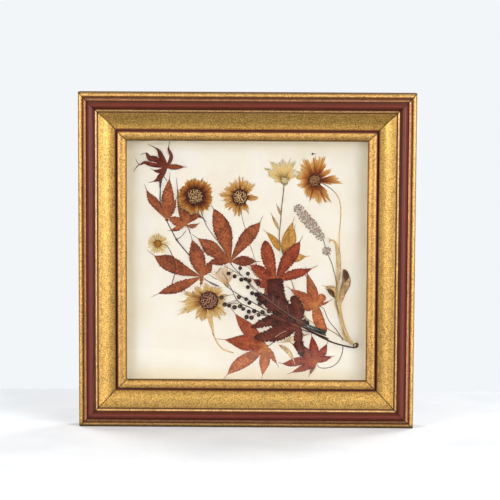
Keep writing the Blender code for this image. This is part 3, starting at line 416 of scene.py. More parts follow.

# painted shade darkens the faces that look up, and a painted contact shadow darkens the edge that it stands
# on, both in one dark brown
facing = add(tree, "NewGeometry")
upward = add(tree, "SeparateXYZ", [facing.outputs["Normal"]])
up_facing_shade = add(tree, "MapRange", [upward.outputs[2], 0.66, 0.95, 0.0, 0.7])
place_here = add(tree, "TexCoord")
height = add(tree, "SeparateXYZ", [place_here.outputs["Object"]])
contact_shade = add(tree, "MapRange", [height.outputs[2], 0.001, 0.006, 0.75, 0.0])
painted_shade = add(tree, "Math", [up_facing_shade, contact_shade], "MAXIMUM")
shaded_gilt = add(tree, "Mix", {0: painted_shade, 6: specked, 7: linear("#4a2f18")}, "RGBA")

# bare wood on the back and in the rebate, with its grain along the stick
stretch = add(tree, "Mapping", {"Vector": uv, "Scale": (30.0, 900.0, 1.0)})
fibre = add(tree, "TexNoise", {"Vector": stretch, "Scale": 1.0, "Detail": 6.0})
wood = set_stops(add(tree, "ValToRGB", [fibre]), [(0.3, "#7c5a38"), (0.55, "#a27c52"), (0.75, "#b8946a")])
behind = add(tree, "Math", [across, -18.6], "LESS_THAN")
inside = add(tree, "Math", [across, 43.9], "GREATER_THAN")
bare = add(tree, "Math", [behind, inside], "MAXIMUM")
whole = add(tree, "Mix", {0: bare, 6: shaded_gilt, 7: wood}, "RGBA")
feed(shader, {"Base Color": whole})

painted = add(tree, "Math", [gilded, bare], {"operation": "SUBTRACT", "use_clamp": True})
unworn = add(tree, "Math", [painted, rub], {"operation": "SUBTRACT", "use_clamp": True})
metal = add(tree, "Math", [unworn, 0.82], "MULTIPLY")
feed(shader, {"Metallic": metal})
varnish = add(tree, "Mix", {0: painted, 2: 0.5, 3: 0.54}, "FLOAT")
dull = add(tree, "Mix", {0: bare, 2: varnish, 3: 0.8}, "FLOAT")
feed(shader, {"Roughness": dull})
relief = add(tree, "Mix", {0: painted, 2: fibre, 3: flake_tone.outputs[1]}, "FLOAT")
feed(shader, {"Normal": add(tree, "Bump", {"Height": relief, "Strength": 0.35, "Distance": 0.00006}),
              "Specular IOR Level": 0.3, "Coat Weight": 0.12, "Coat Roughness": 0.42})

rails = {}
for turn, name in enumerate(("rail_bottom", "rail_left", "rail_top", "rail_right")):
    rail = sweep_rail(f"moulding_{name.split('_')[1]}", turn)
    rail.data.materials.append(gilt)
    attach(rail, "root")
    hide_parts(name)
    rails[name] = rail
print(f"{len(rails)} rails, {sum(len(rail.data.polygons) for rail in rails.values())} faces")

# %% [markdown]
# ## The pane, the card and the back
# The pane is plain 2 mm float glass: perfectly smooth, almost colourless, with the index of
# crown glass. The card behind the plants is cream mount board, a matt paper with soft mottling
# and a few faint brown age spots. The backing is hardboard, pressed from brown wood fibre. They
# are flat sheets, so their solids stay and only take a better finish.

# %% Float glass
glass, tree, shader = new_finish("clear_float_glass")
feed(shader, {"Base Color": linear("#ffffff"), "Transmission Weight": 1.0, "Roughness": 0.0, "IOR": 1.45})

# %% Cream mount board
cream, tree, shader = new_finish("cream_mount_board")
mottle = texture(tree, "TexNoise", 26.0, {"Detail": 5.0})
paper = set_stops(add(tree, "ValToRGB", [mottle]), [(0.3, "#f9efdb"), (0.5, "#fcf4e4"), (0.72, "#fdf7ec")])
age = texture(tree, "TexVoronoi", 34.0)
age_spot = add(tree, "MapRange", [age.outputs["Distance"], 0.008, 0.03, 0.35, 0.0])
foxed = add(tree, "Mix", {0: age_spot, 6: paper, 7: linear("#c9b184")}, "RGBA")
# painted warm light, bounced from the gilt lip, yellows the card in a band beside the rebate
spot = add(tree, "TexCoord")
part = add(tree, "SeparateXYZ", [spot.outputs["Object"]])
aside = add(tree, "Math", [part], "ABSOLUTE")
above = add(tree, "Math", [part.outputs[2], CENTRE_Z], "SUBTRACT")
updown = add(tree, "Math", [above], "ABSOLUTE")
reach = add(tree, "Math", [aside, updown], "MAXIMUM")
yellow = add(tree, "MapRange", [reach, 0.097, 0.105, 0.0, 0.3])
warm_bounce_card = add(tree, "Mix", {0: yellow, 6: foxed, 7: linear("#f7e3ae")}, "RGBA")
feed(shader, {"Base Color": warm_bounce_card, "Roughness": 0.92, "Specular IOR Level": 0.2})
pulp = texture(tree, "TexNoise", 0.7, {"Detail": 4.0})
feed(shader, {"Normal": add(tree, "Bump", {"Height": pulp, "Strength": 0.25, "Distance": 0.00005})})

# %% Brown hardboard
hardboard, tree, shader = new_finish("brown_hardboard")
fibres = texture(tree, "TexNoise", 1.1, {"Detail": 6.0, "Roughness": 0.7})
stain = texture(tree, "TexNoise", 45.0, {"Detail": 3.0})
stir = add(tree, "Math", [stain, 0.35, fibres], "MULTIPLY_ADD")
board = set_stops(add(tree, "ValToRGB", [stir]), [(0.45, "#5a3d26"), (0.66, "#80583a"), (0.85, "#9c724c")])
feed(shader, {"Base Color": board, "Roughness": 0.8})
feed(shader, {"Normal": add(tree, "Bump", {"Height": fibres, "Strength": 0.4, "Distance": 0.0001})})

# %% Tinned steel and brass-plated steel
METALS = {      # name: light, dark, roughness, grain in mm
    "tinned_steel_sheet": ("#b9b8b2", "#8b8a85", 0.38, 1.6),
    "brass_plated_steel": ("#c8a661", "#8f6f38", 0.34, 2.2),
}
metals = {}
for name, (light_code, dark_code, roughness, grain_mm) in METALS.items():
    metals[name], tree, shader = new_finish(name)
    tarnish = texture(tree, "TexNoise", grain_mm, {"Detail": 5.0})
    tones = set_stops(add(tree, "ValToRGB", [tarnish]), [(0.35, dark_code), (0.6, light_code)])
    feed(shader, {"Base Color": tones, "Metallic": 1.0})
    worn_shine = add(tree, "MapRange", [tarnish, 0.0, 1.0, roughness + 0.12, roughness - 0.08])
    feed(shader, {"Roughness": worn_shine})

# %% Put the finishes on the flat sheets and the fittings
FLAT = {"glass": glass, "mount_board": cream, "spacer_top": cream, "spacer_bottom": cream,
        "spacer_left": cream, "spacer_right": cream, "backing_board": hardboard,
        "hanger": metals["brass_plated_steel"], "hanger_nail_1": metals["brass_plated_steel"],
        "hanger_nail_2": metals["brass_plated_steel"]}
FLAT.update({f"point_{number}": metals["tinned_steel_sheet"] for number in range(1, 9)})
for name, finish in FLAT.items():
    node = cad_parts[name]
    node.data.materials.clear()
    node.data.materials.append(finish)
print(f"{len(FLAT)} flat sheets and fittings finished")

# %% [markdown]
# ## The pile
# Pressed plants are not stacked like plates: each one was laid wet or limp over the others and
# sags onto them. A height map of the board, with cells of half a millimetre, remembers how high
# the pile stands. A new specimen rests on a tent over that map, which falls away from every high
# spot along a parabola, as a thin sheet does, and then its own top is written into the map. Cloth
# simulation could do this too, but it would be slow for thirty thin pieces and would push them
# through each other.

# %% The height map
CELL = 0.5
REACH = OPENING / 2 + 6.0
CELLS = int(2 * REACH / CELL) + 1
pile = np.zeros((CELLS, CELLS))


def tent_over(heights, sag):
    """The heights a limp sheet takes over the pile: parabolas under every high spot."""
    cover = heights
    for axis in (0, 1):
        best = cover.copy()
        for shift in range(1, 13):
            drop = sag * (shift * CELL) ** 2
            best = np.maximum(best, np.roll(cover, shift, axis) - drop)
            best = np.maximum(best, np.roll(cover, -shift, axis) - drop)
        cover = best
    return cover


def read_heights(heights, spots):
    """Heights at (x, z) spots, blended between cells."""
    place = np.clip((spots + REACH) / CELL, 0, CELLS - 1.001)
    cell = place.astype(int)
    part = place - cell
    x, z = cell[:, 0], cell[:, 1]
    low = heights[x, z] * (1 - part[:, 1]) + heights[x, z + 1] * part[:, 1]
    high = heights[x + 1, z] * (1 - part[:, 1]) + heights[x + 1, z + 1] * part[:, 1]
    return low * (1 - part[:, 0]) + high * part[:, 0]


def write_heights(corners):
    """Raise the pile to the triangles, given as (count, 3, (x, z, height))."""
    steps = 4
    for row in range(steps + 1):
        for column in range(steps + 1 - row):
            u, v = row / steps, column / steps
            spots = corners[:, 0] * (1 - u - v) + corners[:, 1] * u + corners[:, 2] * v
            cell = np.clip(((spots[:, :2] + REACH) / CELL).round().astype(int), 0, CELLS - 1)
            np.maximum.at(pile, (cell[:, 0], cell[:, 1]), spots[:, 2])


# %% Lay a specimen down
plants = {}
SAG = 0.06          # how fast a limp sheet falls away from a high spot, per mm


def lay_down(node, meshes):
    """Join meshes drawn on the board, drape them over the pile and set them in the frame."""
    things = [put("pressed_" + node, mesh) for mesh in meshes]
    piece = things[0]
    if len(things) > 1:
        with bpy.context.temp_override(active_object=piece, object=piece, selected_objects=things,
                                       selected_editable_objects=things):
            bpy.ops.object.join()
    mesh = piece.data
    points = np.empty(3 * len(mesh.vertices))
    mesh.vertices.foreach_get("co", points)
    points = points.reshape(-1, 3)
    heights = read_heights(tent_over(pile, SAG), points[:, [0, 2]]) + 0.05 - points[:, 1]
    mesh.calc_loop_triangles()
    triangles = np.empty(3 * len(mesh.loop_triangles), dtype=np.int32)
    mesh.loop_triangles.foreach_get("vertices", triangles)
    flat = np.column_stack((points[:, 0], points[:, 2], heights))
    write_heights(flat[triangles].reshape(-1, 3, 3))
    placed = np.column_stack((points[:, 0] * MM, BOARD_Y - heights * MM, points[:, 2] * MM + CENTRE_Z))
    mesh.vertices.foreach_set("co", placed.ravel())
    mesh.update()
    piece.name = "pressed_" + node
    mesh.name = piece.name
    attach(piece, "root")
    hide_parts(node)
    plants[node] = piece
    print(f"{piece.name}: {len(mesh.loop_triangles)} triangles, top {heights.max():.2f} mm above the board")
    assert heights.max() < ROOM - 0.1, "it would touch the glass"
    return piece


# %% [markdown]
# ## Leaves
# A maple leaf is a few lobes that meet at its hub. Each lobe is a midrib's curve with a width
# that swells and draws out to a point, and its edge is a saw whose teeth point to the tip. The
# outlines overlap at the hub, so a constrained triangulation merges them, together with points
# along the ribs and a scatter inside that lets the sheet bend. A Boolean or a filled curve would
# give long thin faces that can't drape. Each corner keeps how far it lies along and beside its
# own midrib, in metres, so the finish can draw midribs and side veins that follow the lobe.

# %% Curves on the board
def smooth_way(points, steps):
    """A smooth curve through (x, z) points, with steps to each stretch."""
    padded = np.array([points[0]] + list(points) + [points[-1]], dtype=float)
    way = []
    for a, b, c, d in zip(padded, padded[1:], padded[2:], padded[3:]):
        for step in range(steps):
            t = step / steps
            way.append(0.5 * (2 * b + (c - a) * t + (2 * a - 5 * b + 4 * c - d) * t * t
                              + (3 * b - a - 3 * c + d) * t ** 3))
    way.append(padded[-1])
    return np.array(way)


def along_way(way, parts):
    """Points and directions at parts of a way."""
    place = np.asarray(parts) * (len(way) - 1)
    index = np.minimum(place.astype(int), len(way) - 2)
    step = way[index + 1] - way[index]
    return way[index] + step * (place - index)[:, None], step / np.linalg.norm(step, axis=1)[:, None]


# %% The width of a lobe
DRAWN_TIP = 0.17        # part of a lobe that is drawn out to a fine point
DRAWN_WIDTH = 0.5


def lobe(widest, belly, way, rounded=0.0):
    """A leaf's lobe: how wide it gets, how far along that is, its midrib's way, and how blunt its tip is."""
    return {"widest": widest, "belly": belly, "way": way, "rounded": rounded}


def half_width(shape, parts):
    """Half of a lobe's width at parts of its length."""
    parts = np.asarray(parts, dtype=float)
    body_end = 1.0 if shape["rounded"] else 1.0 - DRAWN_TIP
    swell = np.clip(parts / body_end, 0.0, 1.0) ** (math.log(0.5) / math.log(shape["belly"]))
    body = shape["widest"] / 2 * np.abs(np.sin(np.pi * swell)) ** (shape["rounded"] or 1.1)
    tail = DRAWN_WIDTH / 2 * (1.0 - 0.55 * np.clip((parts - body_end) / (1.001 - body_end), 0.0, 1.0))
    return np.maximum(body, tail)


# %% The edge of a lobe
def lobe_outline(shape, start, teeth, seed):
    """Out from the start along a lobe's right edge to the tip, and back on its left."""
    way = smooth_way([start] + shape["way"], 10)
    length = np.linalg.norm(np.diff(way, axis=0), axis=1).sum()
    parts = np.linspace(0, 1, max(12, int(length / 0.4)))[1:-1]
    place, along = along_way(way, parts)
    side = np.column_stack((-along[:, 1], along[:, 0]))
    half = half_width(shape, parts)
    spacing, depth = teeth
    chance = np.random.default_rng(seed)
    edges = []
    for sign in (-1, 1):
        beat = parts * length / spacing + chance.uniform()
        size = 0.55 + 0.45 * np.sin(np.floor(beat) * 2.4 + seed)
        tooth = (beat % 1.0 - 0.45) * depth * size * np.clip((parts - 0.16) / 0.12, 0, 1)
        tooth *= np.clip(half / (0.35 * shape["widest"]), 0, 1)
        edges.append(place + sign * side * (half + tooth)[:, None])
    return np.vstack(([start], edges[0], way[-1:], edges[1][::-1]))


def inside(points, outline):
    """Which points lie inside a closed outline."""
    x, z = points[:, 0][:, None], points[:, 1][:, None]
    ax, az = outline[:, 0], outline[:, 1]
    bx, bz = np.roll(ax, -1), np.roll(az, -1)
    crossing = (az > z) != (bz > z)
    with np.errstate(divide="ignore", invalid="ignore"):
        meets = x < (bx - ax) * (z - az) / (bz - az) + ax
    return (crossing & meets).sum(axis=1) % 2 == 1


# %% Distances from a midrib
def beside_rib(points, shape, start):
    """Each point's place along a lobe's midrib and beside it, in mm, and how far out it is."""
    way = smooth_way([start] + shape["way"], 10)
    a, step = way[:-1], np.diff(way, axis=0)
    lengths = np.linalg.norm(step, axis=1)
    before = np.concatenate(([0.0], np.cumsum(lengths)[:-1]))
    offset = points[:, None, :] - a[None]
    t = np.clip((offset * step).sum(axis=2) / lengths ** 2, 0, 1)
    apart = offset - t[:, :, None] * step[None]
    distance = np.linalg.norm(apart, axis=2)
    nearest = distance.argmin(axis=1)
    rows = np.arange(len(points))
    side = np.sign(step[nearest, 0] * apart[rows, nearest, 1] - step[nearest, 1] * apart[rows, nearest, 0])
    part = (nearest + t[rows, nearest]) / len(a)
    along = before[nearest] + t[rows, nearest] * lengths[nearest]
    beside = distance[rows, nearest] * np.where(side == 0, 1, side)
    return along, beside, np.abs(beside) / np.maximum(half_width(shape, part), 0.4), part


# %% A mesh from numbers
def sheet_mesh(name, points, faces, uvs, traits, finish):
    """A mesh with a UV map, one number of each trait to a point, and a finish."""
    mesh = bpy.data.meshes.new(name)
    mesh.from_pydata(points.tolist(), [], faces)
    layer = mesh.uv_layers.new(name="UVMap")
    layer.data.foreach_set("uv", np.asarray(uvs, dtype=float).ravel())
    carry(mesh, **traits)
    mesh.materials.append(finish)
    mesh.shade_smooth()
    return mesh


# %% Grow a leaf
LEAF_THICKNESS = 0.22
SCATTER = 1.15          # spacing of the points inside a leaf, in mm
HUB_RADIUS = 1.6


def leaf_mesh(name, hub, shapes, finish, teeth, curl, shades, seed):
    """A closed thin sheet: merged lobes with ribs, puckers and lifted edges."""
    outlines = [lobe_outline(shape, hub, teeth, seed + 7 * index) for index, shape in enumerate(shapes)]
    if len(shapes) > 1:
        turns = np.linspace(0, 2 * math.pi, 12, endpoint=False)
        outlines.append(hub + HUB_RADIUS * np.column_stack((np.cos(turns), np.sin(turns))))
    edge = np.vstack(outlines)
    low, high = edge.min(axis=0), edge.max(axis=0)
    columns = np.arange(low[0], high[0], SCATTER)
    rows = np.arange(low[1], high[1], SCATTER * 0.87)
    grid = np.array([(x + SCATTER / 2 * (row % 2), z) for row, z in enumerate(rows) for x in columns])
    ribs = [along_way(smooth_way([hub] + shape["way"], 10),
                      np.linspace(0.03, 0.97, 40))[0] for shape in shapes]
    extra = np.vstack([grid] + ribs)
    held = np.zeros(len(extra), dtype=bool)
    for outline in outlines:
        held |= inside(extra, outline)
    extra = extra[held]
    clear = np.array([((edge - point) ** 2).sum(axis=1).min() for point in extra]) > 0.3 ** 2
    spots = np.vstack((edge, extra[clear]))
    loops, first = [], 0
    for outline in outlines:
        loops.append(list(range(first, first + len(outline))))
        first += len(outline)
    merged = delaunay_2d_cdt([Vector(spot) for spot in spots], [], loops, 1, 1e-4)
    flat = np.array([tuple(spot) for spot in merged[0]])
    triangles = np.array([face for face in merged[2] if len(face) == 3])
    a, b, c = flat[triangles[:, 0]], flat[triangles[:, 1]], flat[triangles[:, 2]]
    area = (b[:, 0] - a[:, 0]) * (c[:, 1] - a[:, 1]) - (b[:, 1] - a[:, 1]) * (c[:, 0] - a[:, 0])
    triangles[area < 0] = triangles[area < 0][:, ::-1]
    triangles = triangles[np.abs(area) > 1e-6]

    measures = [beside_rib(flat, shape, hub) for shape in shapes]
    outward = np.array([measure[2] for measure in measures])
    own = outward.argmin(axis=0)
    rows = np.arange(len(flat))
    along = np.array([measure[0] for measure in measures])
    beside = np.array([measure[1] for measure in measures])
    part = np.array([measure[3] for measure in measures])[own, rows]
    out = np.clip(outward[own, rows], 0, 1)
    near, aside = along[own, rows], np.abs(beside[own, rows])
    ridge = 0.16 * np.exp(-(aside / 0.5) ** 2) * (1 - 0.7 * part)
    pucker = 0.05 * (1 + np.cos(2 * math.pi * (near - 0.9 * aside) / 4.2)) * out
    drift = 0.5 + 0.5 * np.sin(flat[:, 0] / 5.1 + seed) * np.cos(flat[:, 1] / 4.3 - seed)
    height = ridge + pucker + curl * out ** 3 * drift
    count = len(flat)
    top = np.column_stack((flat[:, 0], -height - LEAF_THICKNESS, flat[:, 1]))
    bottom = np.column_stack((flat[:, 0], -height, flat[:, 1]))

    sides = {}
    for triangle in triangles:
        for start, end in ((0, 1), (1, 2), (2, 0)):
            sides[(triangle[start], triangle[end])] = True
    rim = [(start, end) for start, end in sides if (end, start) not in sides]
    faces = [tuple(map(int, face)) for face in triangles]
    faces += [tuple(int(corner) + count for corner in face[::-1]) for face in triangles]
    faces += [(int(start), int(start) + count, int(end) + count, int(end)) for start, end in rim]
    face_lobe = outward[:, triangles].sum(axis=2).argmin(axis=0)
    lobes = list(face_lobe) + list(face_lobe) + [own[start] for start, _ in rim]
    uvs = [(along[which, corner % count] * MM, beside[which, corner % count] * MM)
           for which, face in zip(lobes, faces) for corner in face]
    shade = np.array(shades)[own]
    traits = {"along": np.tile(part, 2), "across": np.tile(out, 2), "shade": np.tile(shade, 2)}
    return sheet_mesh(name, np.vstack((top, bottom)), faces, uvs, traits, finish)

# %% [markdown]
# The finish of a pressed leaf is dry, matt and a little mottled. Its colour darkens to the edge
# and into the drawn-out tips, its midrib is paler near the hub, and side veins leave the rib
# every few millimetres and lean to the tip. The veins are stripes in the leaf's own UV map: the
# distance along the rib minus the distance beside it gives lines that slant forward.

# %% A pressed leaf's finish
def leaf_finish(name, skin, other, dark, rib, vein_mm, veins):
    """A dry leaf: its colour, its other lobes' colour, its dark edge and its pale rib."""
    material, tree, shader = new_finish(name)
    uv = add(tree, "UVMap", settings="UVMap")
    split = add(tree, "SeparateXYZ", [uv])
    near = add(tree, "Math", [split, 1000.0], "MULTIPLY")
    beside = add(tree, "Math", [split.outputs[1], 1000.0], "MULTIPLY")
    aside = add(tree, "Math", [beside], "ABSOLUTE")
    part, out, shade = (add(tree, "Attribute", settings=label).outputs["Fac"]
                        for label in ("along", "across", "shade"))
    wide = texture(tree, "TexNoise", 4.5, {"Detail": 4.0})
    fine = texture(tree, "TexNoise", 1.3, {"Detail": 3.0})

    body = add(tree, "Mix", {0: shade, 6: linear(skin), 7: linear(other)}, "RGBA")
    blotch = add(tree, "MapRange", [wide, 0.4, 0.66, 0.0, 0.6])
    blotched = add(tree, "Mix", {0: blotch, 6: body, 7: linear(dark)}, "RGBA")
    speckle = add(tree, "MapRange", [fine, 0.36, 0.64, 0.66, 1.36])
    skinned = add(tree, "VectorMath", {0: blotched, "Scale": speckle}, "SCALE")

    slant = add(tree, "Math", [aside, -0.95, near], "MULTIPLY_ADD")
    waved = add(tree, "Math", [wide, 2.0, slant], "MULTIPLY_ADD")
    stripe = add(tree, "Math", [waved, vein_mm / 2], "PINGPONG")
    line = add(tree, "MapRange", [stripe, 0.1, 0.75, veins, 0.0])
    veined = add(tree, "Mix", {0: line, 6: skinned, 7: linear(dark)}, "RGBA")
    rib_line = add(tree, "MapRange", [aside, 0.15, 0.5, 0.75, 0.0])
    fades = add(tree, "MapRange", [part, 0.0, 0.75, 0.9, 0.1])
    rib_share = add(tree, "Math", [rib_line, fades], "MULTIPLY")
    ribbed = add(tree, "Mix", {0: rib_share, 6: veined, 7: linear(rib)}, "RGBA")
    hub = add(tree, "MapRange", [near, 0.5, 7.0, 0.6, 0.0])
    hubbed = add(tree, "Mix", {0: hub, 6: ribbed, 7: linear(rib)}, "RGBA")
    edge = add(tree, "MapRange", [out, 0.62, 1.0, 0.0, 0.6])
    tip = add(tree, "MapRange", [part, 0.8, 0.96, 0.0, 0.85])
    darker = add(tree, "Math", [edge, tip], "MAXIMUM")
    edged = add(tree, "Mix", {0: darker, 6: hubbed, 7: linear(dark)}, "RGBA")
    feed(shader, {"Base Color": edged, "Roughness": 0.7, "Specular IOR Level": 0.1})
    rise = add(tree, "Math", [line, 0.8, rib_share], "MULTIPLY_ADD")
    crinkle = add(tree, "Math", [fine, 0.6, rise], "MULTIPLY_ADD")
    feed(shader, {"Normal": add(tree, "Bump", {"Height": crinkle, "Strength": 0.6, "Distance": 0.00015})})
    return material


LEAF_COLOURS = {        # slot: colour, other lobes' colour, dark edge, rib, vein spacing, vein strength
    "maroon_leaf": ("#743024", "#9c4c2a", "#38160f", "#8f4428", 3.0, 0.5),
    "red_brown_leaf": ("#b2623b", "#8c452c", "#562315", "#b9703a", 3.8, 0.42),
    "brick_red_leaf": ("#a3452d", "#ae5431", "#591a12", "#bd6a38", 3.4, 0.42),
    "orange_leaf": ("#ca7847", "#ac5334", "#77301d", "#cb8849", 3.8, 0.36),
    "dark_purple_leaf": ("#6b332a", "#7d3e2f", "#33170f", "#945545", 4.0, 0.42),
    "ochre_leaf": ("#dba657", "#cd9340", "#936024", "#a97633", 2.2, 0.36),
    "tan_leaf": ("#e3bb79", "#ecd6aa", "#a87a42", "#c08e4c", 2.6, 0.15),
    "brown_leaf": ("#d3a96e", "#dcb987", "#6f4827", "#d6ae76", 2.4, 0.2),
    "umber_leaf": ("#62412a", "#805a38", "#3a2413", "#7a5433", 2.4, 0.2),
}
leaf_finishes = {slot: leaf_finish("pressed_" + slot, *colours) for slot, colours in LEAF_COLOURS.items()}
print(f"{len(leaf_finishes)} leaf finishes")

# %% [markdown]
# ## Stems and stalks
# A pressed stem is a thin tube, flattened to about half its width, that follows its own way over
# the others. Geometry Nodes suit this: the way comes in as a line of points that carry their
# thickness, the tree sweeps a round section along it with Curve to Mesh, and squeezes the result
# towards the line. One tree serves every stem, stalk, twig and tendril.

# %% Node trees with named inputs
def new_tree(name, sockets):
    """A Geometry Nodes tree with named inputs, as (name, kind, value), and its inputs' sockets."""
    tree = bpy.data.node_groups.new(name, "GeometryNodeTree")
    tree.interface.new_socket("Geometry", in_out="OUTPUT", socket_type="NodeSocketGeometry")
    tree.interface.new_socket("Geometry", in_out="INPUT", socket_type="NodeSocketGeometry")
    for label, kind, value in sockets:
        socket = tree.interface.new_socket(label, in_out="INPUT", socket_type="NodeSocket" + kind)
        if value is not None:
            socket.default_value = value
    return tree, add(tree, "NodeGroupInput").outputs


def end_tree(tree, geometry, finish):
    """End a tree: instances made real, faces smooth, finish set."""
    real = add(tree, "RealizeInstances", [geometry])
    smooth = add(tree, "SetShadeSmooth", [real])
    done = add(tree, "SetMaterial", {0: smooth, "Material": finish})
    add(tree, "NodeGroupOutput", [done])


def grow(mesh, tree, values, thickness=0.0):
    """The plain mesh that a tree makes from a mesh, with its inputs set by identifier."""
    seedling = put("seedling", mesh)
    modifier = seedling.modifiers.new("grow", "NODES")
    modifier.node_group = tree
    for socket in tree.interface.items_tree:
        if socket.item_type == "SOCKET" and socket.in_out == "INPUT" and socket.name in values:
            modifier[socket.identifier] = values[socket.name]
    if thickness:
        shell = seedling.modifiers.new("thickness", "SOLIDIFY")
        shell.thickness = thickness
        shell.offset = 1.0
    graph = bpy.context.evaluated_depsgraph_get()
    grown = bpy.data.meshes.new_from_object(seedling.evaluated_get(graph), preserve_all_data_layers=True,
                                            depsgraph=graph)
    bpy.data.objects.remove(seedling)
    return grown


# %% The stem tree
stem_tree, given = new_tree("pressed_stem", [("Flatness", "Float", 0.55), ("Sides", "Int", 8),
                                             ("Finish", "Material", None)])
way_curve = add(stem_tree, "MeshToCurve", [given["Geometry"]])
middle = add(stem_tree, "InputPosition")
marked = add(stem_tree, "StoreNamedAttribute", {"Geometry": way_curve, "Name": "middle", "Value": middle},
             "FLOAT_VECTOR")
thick = add(stem_tree, "InputNamedAttribute", ["thick"])
ring = add(stem_tree, "CurvePrimitiveCircle", {"Resolution": given["Sides"], "Radius": 1.0})
tube = add(stem_tree, "CurveToMesh",
           {"Curve": marked, "Profile Curve": ring, "Scale": thick, "Fill Caps": True})
spot = add(stem_tree, "InputPosition")
core = add(stem_tree, "InputNamedAttribute", ["middle"], "FLOAT_VECTOR")
from_core = add(stem_tree, "VectorMath", [spot, core], "SUBTRACT")
squeeze = add(stem_tree, "CombineXYZ", [1.0, given["Flatness"], 1.0])
squeezed = add(stem_tree, "VectorMath", [from_core, squeeze, core], "MULTIPLY_ADD")
flattened = add(stem_tree, "SetPosition", {"Geometry": tube, "Position": squeezed})
end_tree(stem_tree, flattened.outputs[0], given["Finish"])

FLATNESS = 0.55         # a pressed stem's thickness over its width
STEM_STEPS = 6          # to each stretch of its way


def stem_mesh(strands, finish, lift=0.0):
    """Tubes along (way, start radius, end radius) strands, lying on the board or lifted."""
    points, edges, thick, along = [], [], [], []
    for ways, start, end in strands:
        way = smooth_way(ways, STEM_STEPS)
        first = len(points)
        for index, (x, z) in enumerate(way):
            part = index / (len(way) - 1)
            radius = start + (end - start) * part
            radius *= 1.0 + 0.10 * math.sin(index * 1.7 + x) + 0.05 * math.sin(index * 0.6 + z)
            points.append((x, -(radius * FLATNESS + lift), z))
            thick.append(radius)
            along.append(part)
            if index:
                edges.append((first + index - 1, first + index))
    mesh = bpy.data.meshes.new("ways")
    mesh.from_pydata(points, edges, [])
    carry(mesh, thick=thick, along=along)
    return grow(mesh, stem_tree, {"Flatness": FLATNESS, "Sides": 8, "Finish": finish})


# %% A dry stem's finish
def stem_finish(name, start, end, dark, middle):
    """A dried stem: one colour at its flower or leaf, another at its cut, with dark streaks."""
    material, tree, shader = new_finish(name)
    part = add(tree, "Attribute", settings="along").outputs["Fac"]
    mix = add(tree, "MapRange", [part, middle - 0.12, middle + 0.12])
    body = add(tree, "Mix", {0: mix, 6: linear(start), 7: linear(end)}, "RGBA")
    streak = texture(tree, "TexNoise", 1.6, {"Detail": 4.0})
    share = add(tree, "MapRange", [streak, 0.42, 0.7, 0.0, 0.6])
    streaked = add(tree, "Mix", {0: share, 6: body, 7: linear(dark)}, "RGBA")
    feed(shader, {"Base Color": streaked, "Roughness": 0.65, "Specular IOR Level": 0.15})
    feed(shader, {"Normal": add(tree, "Bump", {"Height": streak, "Strength": 0.4, "Distance": 0.0001})})
    return material


STEMS = {       # name: at the flower, at the cut, streaks, where it changes
    "dark_stalk": ("#5a3826", "#4a2c1e", "#2e1a12", 0.5),
    "brown_stem": ("#5e4128", "#6d5336", "#33211a", 0.5),
    "olive_stem": ("#6b5a3c", "#7d6d47", "#40341f", 0.4),
    "half_tan_stem": ("#54391f", "#ecc994", "#bd9860", 0.16),
    "tan_stem": ("#e6c387", "#ebcc96", "#bd9455", 0.5),
    "pale_stem": ("#d9c19c", "#c8a97c", "#8f7250", 0.5),
    "slate_bundle": ("#59615e", "#454e4d", "#262c2b", 0.5),
    "slate_twig": ("#8f7d70", "#5b5f5a", "#34332f", 0.75),
    "straw_stem": ("#75623f", "#cfb27f", "#7d6238", 0.45),
    "grey_stem": ("#8d7c66", "#b99a6c", "#5c4b38", 0.45),
}
stems = {name: stem_finish("dried_" + name, *colours) for name, colours in STEMS.items()}
print(f"{len(stems)} stem finishes")

# %% [markdown]
# ## Ray flowers
# The flowers are daisies: a ring of soft rays round a button of tiny florets. Each ray is a thin
# strip that swells, frays at its end and bends a little, so one strip is made in Geometry Nodes,
# set on a point for every ray with that point's turn, length and width, and only then frayed,
# so no two come out alike. Solidify gives the strips a thickness. The florets are drawn the way a
# sunflower packs its seeds: each new one turns by the golden angle and moves out a little.

# %% The ray tree
ray_tree, given = new_tree("frayed_rays", [("Fray", "Float", 0.16), ("Bend", "Float", 1.2),
                                           ("Seed", "Int", 1), ("Finish", "Material", None)])
strip = add(ray_tree, "MeshGrid", {"Size X": 1.0, "Size Y": 1.0, "Vertices X": 10, "Vertices Y": 4})
at = add(ray_tree, "InputPosition")
parts = add(ray_tree, "SeparateXYZ", [at])
along = add(ray_tree, "Math", [parts, 0.5], "ADD")
across = add(ray_tree, "Math", [parts.outputs[1], 2.0], "MULTIPLY")
kept_along = add(ray_tree, "StoreNamedAttribute", {"Geometry": strip, "Name": "along", "Value": along})
kept_across = add(ray_tree, "StoreNamedAttribute",
                  {"Geometry": kept_along, "Name": "across", "Value": across})
swell = add(ray_tree, "FloatCurve", {"Value": along})
curve = swell.mapping.curves[0]
curve.points[0].location = (0.0, 0.3)
curve.points[1].location = (1.0, 0.12)
for place in ((0.3, 0.7), (0.62, 1.0), (0.86, 0.62)):
    curve.points.new(*place)
swell.mapping.update()
half = add(ray_tree, "Math", [parts.outputs[1], swell], "MULTIPLY")
cup = add(ray_tree, "Math", [across, across], "MULTIPLY")
cupped = add(ray_tree, "Math", [cup, -0.14], "MULTIPLY")
shaped = add(ray_tree, "CombineXYZ", [along, cupped, half])
ray = add(ray_tree, "SetPosition", {"Geometry": kept_across, "Position": shaped})
turn, reach, wide = (add(ray_tree, "InputNamedAttribute", [label]) for label in ("turn", "reach", "wide"))
against = add(ray_tree, "Math", [turn, -1.0], "MULTIPLY")
facing = add(ray_tree, "CombineXYZ", [0.0, against, 0.0])
scale = add(ray_tree, "CombineXYZ", [reach, 1.0, wide])
foot = add(ray_tree, "InputPosition")
rooted = add(ray_tree, "StoreNamedAttribute",
             {"Geometry": given["Geometry"], "Name": "foot", "Value": foot}, "FLOAT_VECTOR")
